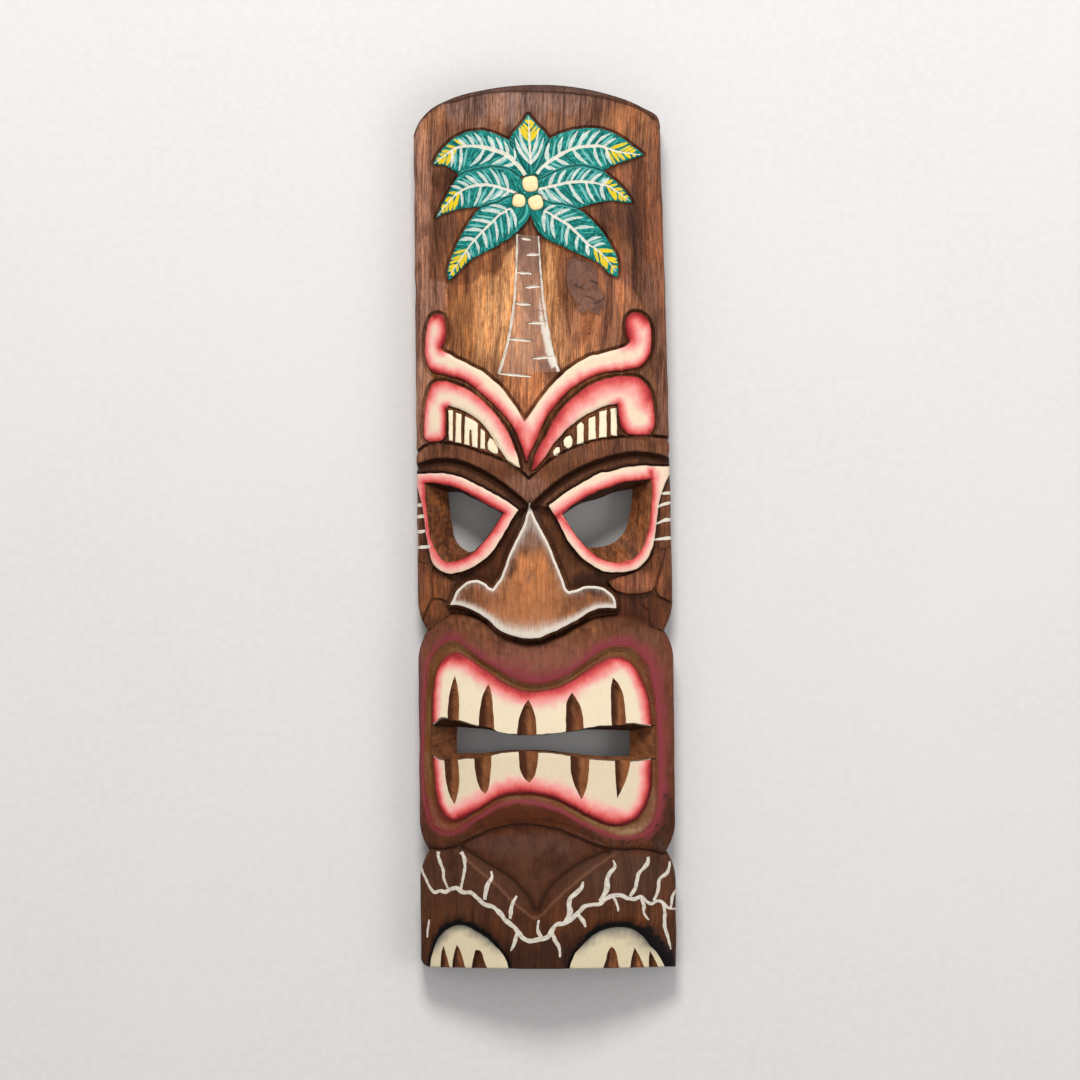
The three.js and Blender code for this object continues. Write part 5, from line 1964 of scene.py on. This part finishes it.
def wall_colour(points, normals):
    """The wood inside the holes: painted shade where it faces away from the light, and painted light towards
    the right.
    """
    uneven = 0.9 + 0.25 * ripple(points[:, (0, 2)] + points[:, 1:2], 6, 69)
    shaded = 1 - 0.75 * fade((-normals[:, 1] - 0.25) / 0.4)
    lit_side = 1 + 0.35 * fade((points[:, 0] + 20) / 40)
    return linear(HOLE) * (lit_side * uneven * shaded)[:, None]


def lay_wood(mesh, points, faces, parts):
    """The wood's colour with painted light and shade, how strong its grain is, and the thin stained lines,
    at each point.
    """
    flat = points[:, :2]
    dark, gap, thin = stain_and_shade_at(flat)
    # Painted shade: the wood darker the deeper it lies below the rounded front
    recess_shade = 1 - fade((front_depth(points) - 1.0) / 9) * 0.35
    wood = wood_at(flat) * recess_shade[:, None] * (1 - dark[:, None]) + linear(SOFT_STAIN_AND_SHADE) * dark[:, None]
    walls = np.unique(faces[parts == WALL])
    normals = np.empty(3 * len(points))
    mesh.vertex_normals.foreach_get("vector", normals)
    wood[walls] = wall_colour(points[walls], normals.reshape(-1, 3)[walls])
    dark[walls], thin[walls] = 0, 0
    contrast = 1 - 0.6 * dark
    for middle, sizes, strength in SMOOTH_WOOD:
        contrast *= 1 - strength * fade(1.6 - np.abs(half_sizes_from(flat, middle, sizes)).max(1))
    # Painted light and shade on the walls of the gaps
    gaps = np.unique(faces[gap_faces(points, faces, parts)])
    wood[gaps] = 0.2 * wood[gaps] + 0.8 * gap_light_and_shade(flat[gaps])
    lines = np.column_stack([(gap - GAP_LOW) / GAP_SPAN, thin, np.zeros((len(flat), 2))])
    return np.column_stack([wood, contrast]), lines


def make_mask():
    """The one carved and painted piece."""
    points, faces, parts = weld(*mask_mesh())
    mesh = bpy.data.meshes.new("carved_mask")
    mesh.from_pydata((points / 1000).tolist(), [], faces.tolist())
    mesh.update()
    paint_here, shade, brush = lay_paint(points, faces, parts)
    wood, lines = lay_wood(mesh, points, faces, parts)
    add_attribute(mesh, "paint", "FLOAT_COLOR", "CORNER", paint_here)
    add_attribute(mesh, "shade", "FLOAT_COLOR", "CORNER", shade)
    add_attribute(mesh, "brush", "FLOAT_VECTOR", "CORNER", brush)
    add_attribute(mesh, "wood", "FLOAT_COLOR", "POINT", wood)
    add_attribute(mesh, "lines", "FLOAT_COLOR", "POINT", lines)
    add_attribute(mesh, "grain", "FLOAT_VECTOR", "POINT", grain_at(points))
    mesh.materials.append(painted_wood())
    mesh.materials.append(bare_wood())
    mesh.polygons.foreach_set("material_index", (parts == BACK).astype(np.int32))
    mesh.validate()
    mesh.update()
    mesh.set_sharp_from_angle(angle=np.radians(SHARP))
    piece = bpy.data.objects.new("carved_mask", mesh)
    bpy.context.scene.collection.objects.link(piece)
    return piece


def front_depth(points):
    """How deep below the rounded front each point is, up to 8 mm, which sets the painted shade in the
    recesses.
    """
    depth = face_at(points[:, 0]) - points[:, 2]
    return np.where(np.abs(points[:, 0]) < 70, depth, 0).clip(0, 8)


# The materials


class Nodes:
    """Builds a material from short lines."""

    def __init__(self, name):
        self.material = bpy.data.materials.new(name)
        self.material.use_nodes = True
        self.tree = self.material.node_tree
        self.shader = self.tree.nodes["Principled BSDF"]

    def add(self, kind, inputs=None, **settings):
        node = self.tree.nodes.new(kind)
        for key, value in settings.items():
            setattr(node, key, value)
        for key, value in (inputs or {}).items():
            self.put(node.inputs[key], value)
        return node

    def put(self, socket, value):
        if isinstance(value, bpy.types.NodeSocket):
            self.tree.links.new(value, socket)
        elif hasattr(value, "__len__") and len(value) == 3 and socket.type == "RGBA":
            socket.default_value = (*value, 1)
        else:
            socket.default_value = value

    def attribute(self, name):
        return self.add("ShaderNodeAttribute", attribute_name=name)

    def math(self, operation, *numbers):
        node = self.add("ShaderNodeMath", operation=operation)
        for socket, number in zip(node.inputs, numbers):
            self.put(socket, number)
        return node.outputs[0]

    def times(self, a, b):
        return self.math("MULTIPLY", a, b)

    def plus(self, a, b):
        return self.math("ADD", a, b)

    def minus(self, a, b):
        return self.math("SUBTRACT", a, b)

    def noise(self, where, stretch, scale=1.0, detail=3.0, roughness=0.55):
        mapping = self.add("ShaderNodeMapping", {"Vector": where, "Scale": stretch})
        look = {"Vector": mapping.outputs[0], "Scale": scale, "Detail": detail, "Roughness": roughness}
        return self.add("ShaderNodeTexNoise", look).outputs["Fac"]

    def spread(self, value, low, high, start=0.0, stop=1.0):
        """Moves low..high to start..stop, smoothly."""
        node = self.add("ShaderNodeMapRange", interpolation_type="SMOOTHSTEP")
        for socket, number in zip(node.inputs, (value, low, high, start, stop)):
            self.put(socket, number)
        return node.outputs[0]

    def mix(self, share, a, b, blend="MIX"):
        node = self.add("ShaderNodeMix", data_type="RGBA", blend_type=blend)
        self.put(node.inputs[0], share)
        self.put(node.inputs[6], a)
        self.put(node.inputs[7], b)
        return node.outputs[2]

    def between(self, share, a, b):
        """A number from a to b."""
        node = self.add("ShaderNodeMix", data_type="FLOAT")
        self.put(node.inputs[0], share)
        self.put(node.inputs[2], a)
        self.put(node.inputs[3], b)
        return node.outputs[0]

    def bump(self, height, strength, distance, normal=None):
        node = self.add("ShaderNodeBump", {"Height": height, "Strength": strength, "Distance": distance})
        if normal:
            self.put(node.inputs["Normal"], normal)
        return node.outputs[0]

    def surface(self, colour, roughness, normal):
        """Puts the three on the shader and gives back the material."""
        for name, value in (("Base Color", colour), ("Roughness", roughness), ("Normal", normal)):
            self.put(self.shader.inputs[name], value)
        return self.material


def wood_grain(nodes, where):
    """Fine streaks, broad streaks, thin dark lines and pores along the board, each from 0 to 1."""
    wide = nodes.noise(where, (0.7, 0.03, 0.7), detail=4.0, roughness=0.6)
    narrow = nodes.noise(where, (2.0, 0.13, 2.0), roughness=0.65)
    fine = nodes.plus(nodes.times(wide, 0.45), nodes.times(narrow, 0.55))
    broad = nodes.noise(where, (0.14, 0.014, 0.14), detail=4.0, roughness=0.6)
    rings = nodes.noise(where, (0.2, 0.0045, 0.2), detail=2.0, roughness=0.4)
    waves = nodes.minus(nodes.math("FRACT", nodes.times(rings, 16.0)), 0.5)
    line = nodes.minus(1.0, nodes.spread(nodes.math("ABSOLUTE", waves), 0.03, 0.2))
    line = nodes.times(line, nodes.spread(narrow, 0.35, 0.6))
    pores = nodes.spread(nodes.noise(where, (2.6, 0.3, 2.6), detail=2.0, roughness=0.5), 0.6, 0.68)
    return fine, broad, line, pores


def blush_colour(nodes, red):
    ramp = nodes.add("ShaderNodeValToRGB", {"Fac": red})
    elements = ramp.color_ramp.elements
    while len(elements) < len(REDS):
        elements.new(0.5)
    for element, (place, colour) in zip(elements, REDS):
        element.position = place
        element.color = (*linear(colour), 1)
    return ramp.outputs[0]


def thin_lines(nodes, grain):
    """How dark the thin stained lines are: crisp, with slightly ragged edges."""
    split = nodes.add("ShaderNodeSeparateColor", {"Color": nodes.attribute("lines").outputs["Color"]})
    gap = nodes.plus(nodes.times(split.outputs[0], GAP_SPAN), GAP_LOW)
    ragged = nodes.noise(grain, (1.1, 0.5, 1.1))
    gap = nodes.plus(gap, nodes.times(nodes.minus(ragged, 0.5), 2.4))
    return nodes.times(nodes.spread(gap, 1.8, 0.2), split.outputs[1])


def bare_colour(nodes, wood, grain):
    """The stained wood's colour, and its streaks and pores."""
    fine, broad, line, pores = wood_grain(nodes, grain)
    bare, contrast = wood.outputs["Color"], wood.outputs["Alpha"]
    streak = nodes.minus(nodes.spread(fine, 0.37, 0.63), 0.5)
    streak = nodes.plus(nodes.times(streak, contrast), 0.5)
    dark = nodes.mix(1.0, bare, (0.5, 0.43, 0.4), "MULTIPLY")
    light = nodes.mix(1.0, bare, (1.42, 1.44, 1.46), "MULTIPLY")
    bare = nodes.mix(streak, dark, light)
    smoke = nodes.noise(grain, (0.09, 0.05, 0.09), detail=4.0, roughness=0.6)
    mottle = nodes.spread(nodes.noise(grain, (0.22, 0.15, 0.22), detail=5.0, roughness=0.7), 0.46, 0.66)
    for share, tint in (
        (nodes.times(nodes.spread(broad, 0.52, 0.6), contrast), (1.33, 1.2, 1.02)),
        (nodes.times(nodes.spread(broad, 0.47, 0.4), contrast), (0.55, 0.49, 0.47)),
        (nodes.times(nodes.times(line, 0.9), contrast), (0.42, 0.36, 0.34)),
        (nodes.spread(smoke, 0.52, 0.7), (0.66, 0.6, 0.6)),
        (nodes.times(nodes.times(mottle, nodes.minus(1.0, contrast)), 0.6), (0.5, 0.44, 0.42)),
    ):
        bare = nodes.mix(share, bare, tint, "MULTIPLY")
    pore = nodes.times(pores, contrast)
    bare = nodes.mix(nodes.times(pore, 0.6), bare, (0.02, 0.01, 0.006))
    return nodes.mix(thin_lines(nodes, grain), bare, linear(GROOVE)), fine, pore


def paint_colour(nodes, patch, shade, grain, brush):
    """The paint's colour with its reds and its leaf streaks."""
    split = nodes.add("ShaderNodeSeparateColor", {"Color": shade.outputs["Color"]})
    red, leaf = split.outputs[0], split.outputs[1]
    worn = nodes.noise(grain, (1.6, 0.16, 1.6), detail=4.0)
    soft = nodes.noise(grain, (0.5, 0.4, 0.5), detail=4.0)
    uneven = nodes.plus(nodes.times(worn, 0.5), nodes.times(soft, 0.5))
    is_red = nodes.spread(red, 0.0, 0.3)
    strokes = nodes.times(nodes.minus(uneven, 0.5), nodes.spread(red, 0.0, 0.4, 0.15, 0.42))
    rubbed = nodes.times(nodes.spread(uneven, 0.46, 0.66), 0.3)
    colour = nodes.mix(rubbed, patch.outputs["Color"], (0.86, 0.78, 0.66), "MULTIPLY")
    colour = nodes.mix(is_red, colour, blush_colour(nodes, nodes.plus(red, strokes)))
    marks = nodes.noise(brush, (0.85, 0.13, 0.3))
    teal = nodes.mix(nodes.spread(marks, 0.38, 0.56), linear("#054843"), linear("#107c74"))
    teal = nodes.mix(nodes.spread(marks, 0.56, 0.68), teal, linear("#56ab9f"))
    return nodes.mix(nodes.times(leaf, 0.9), colour, teal)


def painted_wood():
    nodes = Nodes("painted_wood")
    grain, brush = (nodes.attribute(name).outputs["Vector"] for name in ("grain", "brush"))
    wood, patch, shade = (nodes.attribute(name) for name in ("wood", "paint", "shade"))
    bare, fine, pore = bare_colour(nodes, wood, grain)
    hairs = nodes.noise(grain, (1.8, 0.13, 1.8), detail=4.0)
    whole = patch.outputs["Alpha"]
    ragged = nodes.plus(whole, nodes.times(nodes.minus(hairs, 0.5), 0.6))
    ragged = nodes.times(nodes.spread(ragged, -0.05, 0.98), nodes.spread(whole, 0.0, 0.2))
    cover = nodes.between(shade.outputs["Alpha"], whole, ragged)
    colour = nodes.mix(cover, bare, paint_colour(nodes, patch, shade, grain, brush))
    nodes.put(nodes.shader.inputs["Specular IOR Level"], 0.13)
    stained = nodes.times(nodes.minus(1.0, wood.outputs["Alpha"]), 0.25)
    bare_rough = nodes.plus(nodes.spread(fine, 0.3, 0.7, 0.56, 0.44), stained)
    rough = nodes.between(cover, bare_rough, nodes.spread(hairs, 0.3, 0.7, 0.5, 0.6))
    normal = nodes.bump(nodes.minus(fine, nodes.times(pore, 0.5)), 0.4, 0.0005)
    strokes = nodes.noise(brush, (1.4, 0.3, 0.8))
    normal = nodes.bump(nodes.times(strokes, cover), 0.25, 0.0004, normal)
    return nodes.surface(colour, rough, normal)


def bare_wood():
    nodes = Nodes("bare_wood")
    grain = nodes.attribute("grain")
    fine, broad, line, pore = wood_grain(nodes, grain.outputs["Vector"])
    colour = nodes.mix(nodes.spread(fine, 0.3, 0.7), linear("#5d3f29"), linear("#94694a"))
    colour = nodes.mix(nodes.spread(broad, 0.4, 0.65), colour, linear("#7c5539"))
    colour = nodes.mix(nodes.times(line, 0.4), colour, linear("#4a301e"))
    colour = nodes.mix(nodes.times(pore, 0.55), colour, linear("#2b1a0f"))
    normal = nodes.bump(nodes.minus(fine, pore), 0.4, 0.0005)
    return nodes.surface(colour, nodes.spread(fine, 0.3, 0.7, 0.78, 0.62), normal)


# The setting

FLOOR = "#cfcdcc"
FLOOR_HALF = 3.0
CAMERA_HEIGHT = 3.5
CAMERA_OVER = (-0.0028, -0.0077)
SEEN_WIDTH = 0.6116  # metres across the picture, at the height of the mask's front
FRONT_HEIGHT = 0.028


def make_floor():
    bpy.ops.mesh.primitive_plane_add(size=2 * FLOOR_HALF)
    floor = bpy.context.object
    floor.name = "floor"
    nodes = Nodes("floor")
    where = nodes.add("ShaderNodeTexCoord").outputs["Object"]
    speckle = nodes.noise(where, (1, 1, 1), 240.0, detail=4.0)
    cloud = nodes.noise(where, (1, 1, 1), 6.0)
    pale = nodes.mix(nodes.spread(speckle, 0.35, 0.65), linear("#c9c7c6"), linear(FLOOR))
    colour = nodes.mix(cloud, pale, linear("#d3d1d0"))
    rough = nodes.spread(cloud, 0.3, 0.7, 0.75, 0.85)
    floor.data.materials.append(nodes.surface(colour, rough, nodes.bump(speckle, 0.1, 0.0004)))


def add_light(name, place, size, power, colour):
    light = bpy.data.lights.new(name, "AREA")
    light.shape = "DISK"
    light.size = size
    light.energy = power
    light.color = colour
    lamp = bpy.data.objects.new(name, light)
    lamp.location = place
    lamp.rotation_euler = (Vector((0, 0, 0.02)) - Vector(place)).to_track_quat("-Z", "Y").to_euler()
    bpy.context.scene.collection.objects.link(lamp)
    return lamp


def make_setting():
    make_floor()
    world = bpy.data.worlds.new("studio")
    world.use_nodes = True
    world.node_tree.nodes["Background"].inputs[0].default_value = (1, 1, 1, 1)
    world.node_tree.nodes["Background"].inputs[1].default_value = 0.55
    bpy.context.scene.world = world
    add_light("key", (-0.12, 1.5, 1.5), 0.7, 40, (1, 0.985, 0.965))
    add_light("fill", (1.6, -0.2, 1.5), 1.2, 10, (1, 1, 1))
    bpy.context.scene.view_settings.view_transform = "Standard"
    camera = bpy.data.cameras.new("camera")
    camera.sensor_width = 36
    camera.lens = 36 * (CAMERA_HEIGHT - FRONT_HEIGHT) / SEEN_WIDTH
    camera.clip_end = 20
    holder = bpy.data.objects.new("camera", camera)
    holder.location = (*CAMERA_OVER, CAMERA_HEIGHT)
    bpy.context.scene.collection.objects.link(holder)
    bpy.context.scene.camera = holder


make_forehead_stripes()
make_brow()
make_crown()
make_eyes()
make_nose()
make_mouth()
make_chin_and_feet()
make_vines()
make_knot()
make_trunk()
make_palm()
mask = make_mask()
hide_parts("mask")
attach(mask, "root")
make_setting()
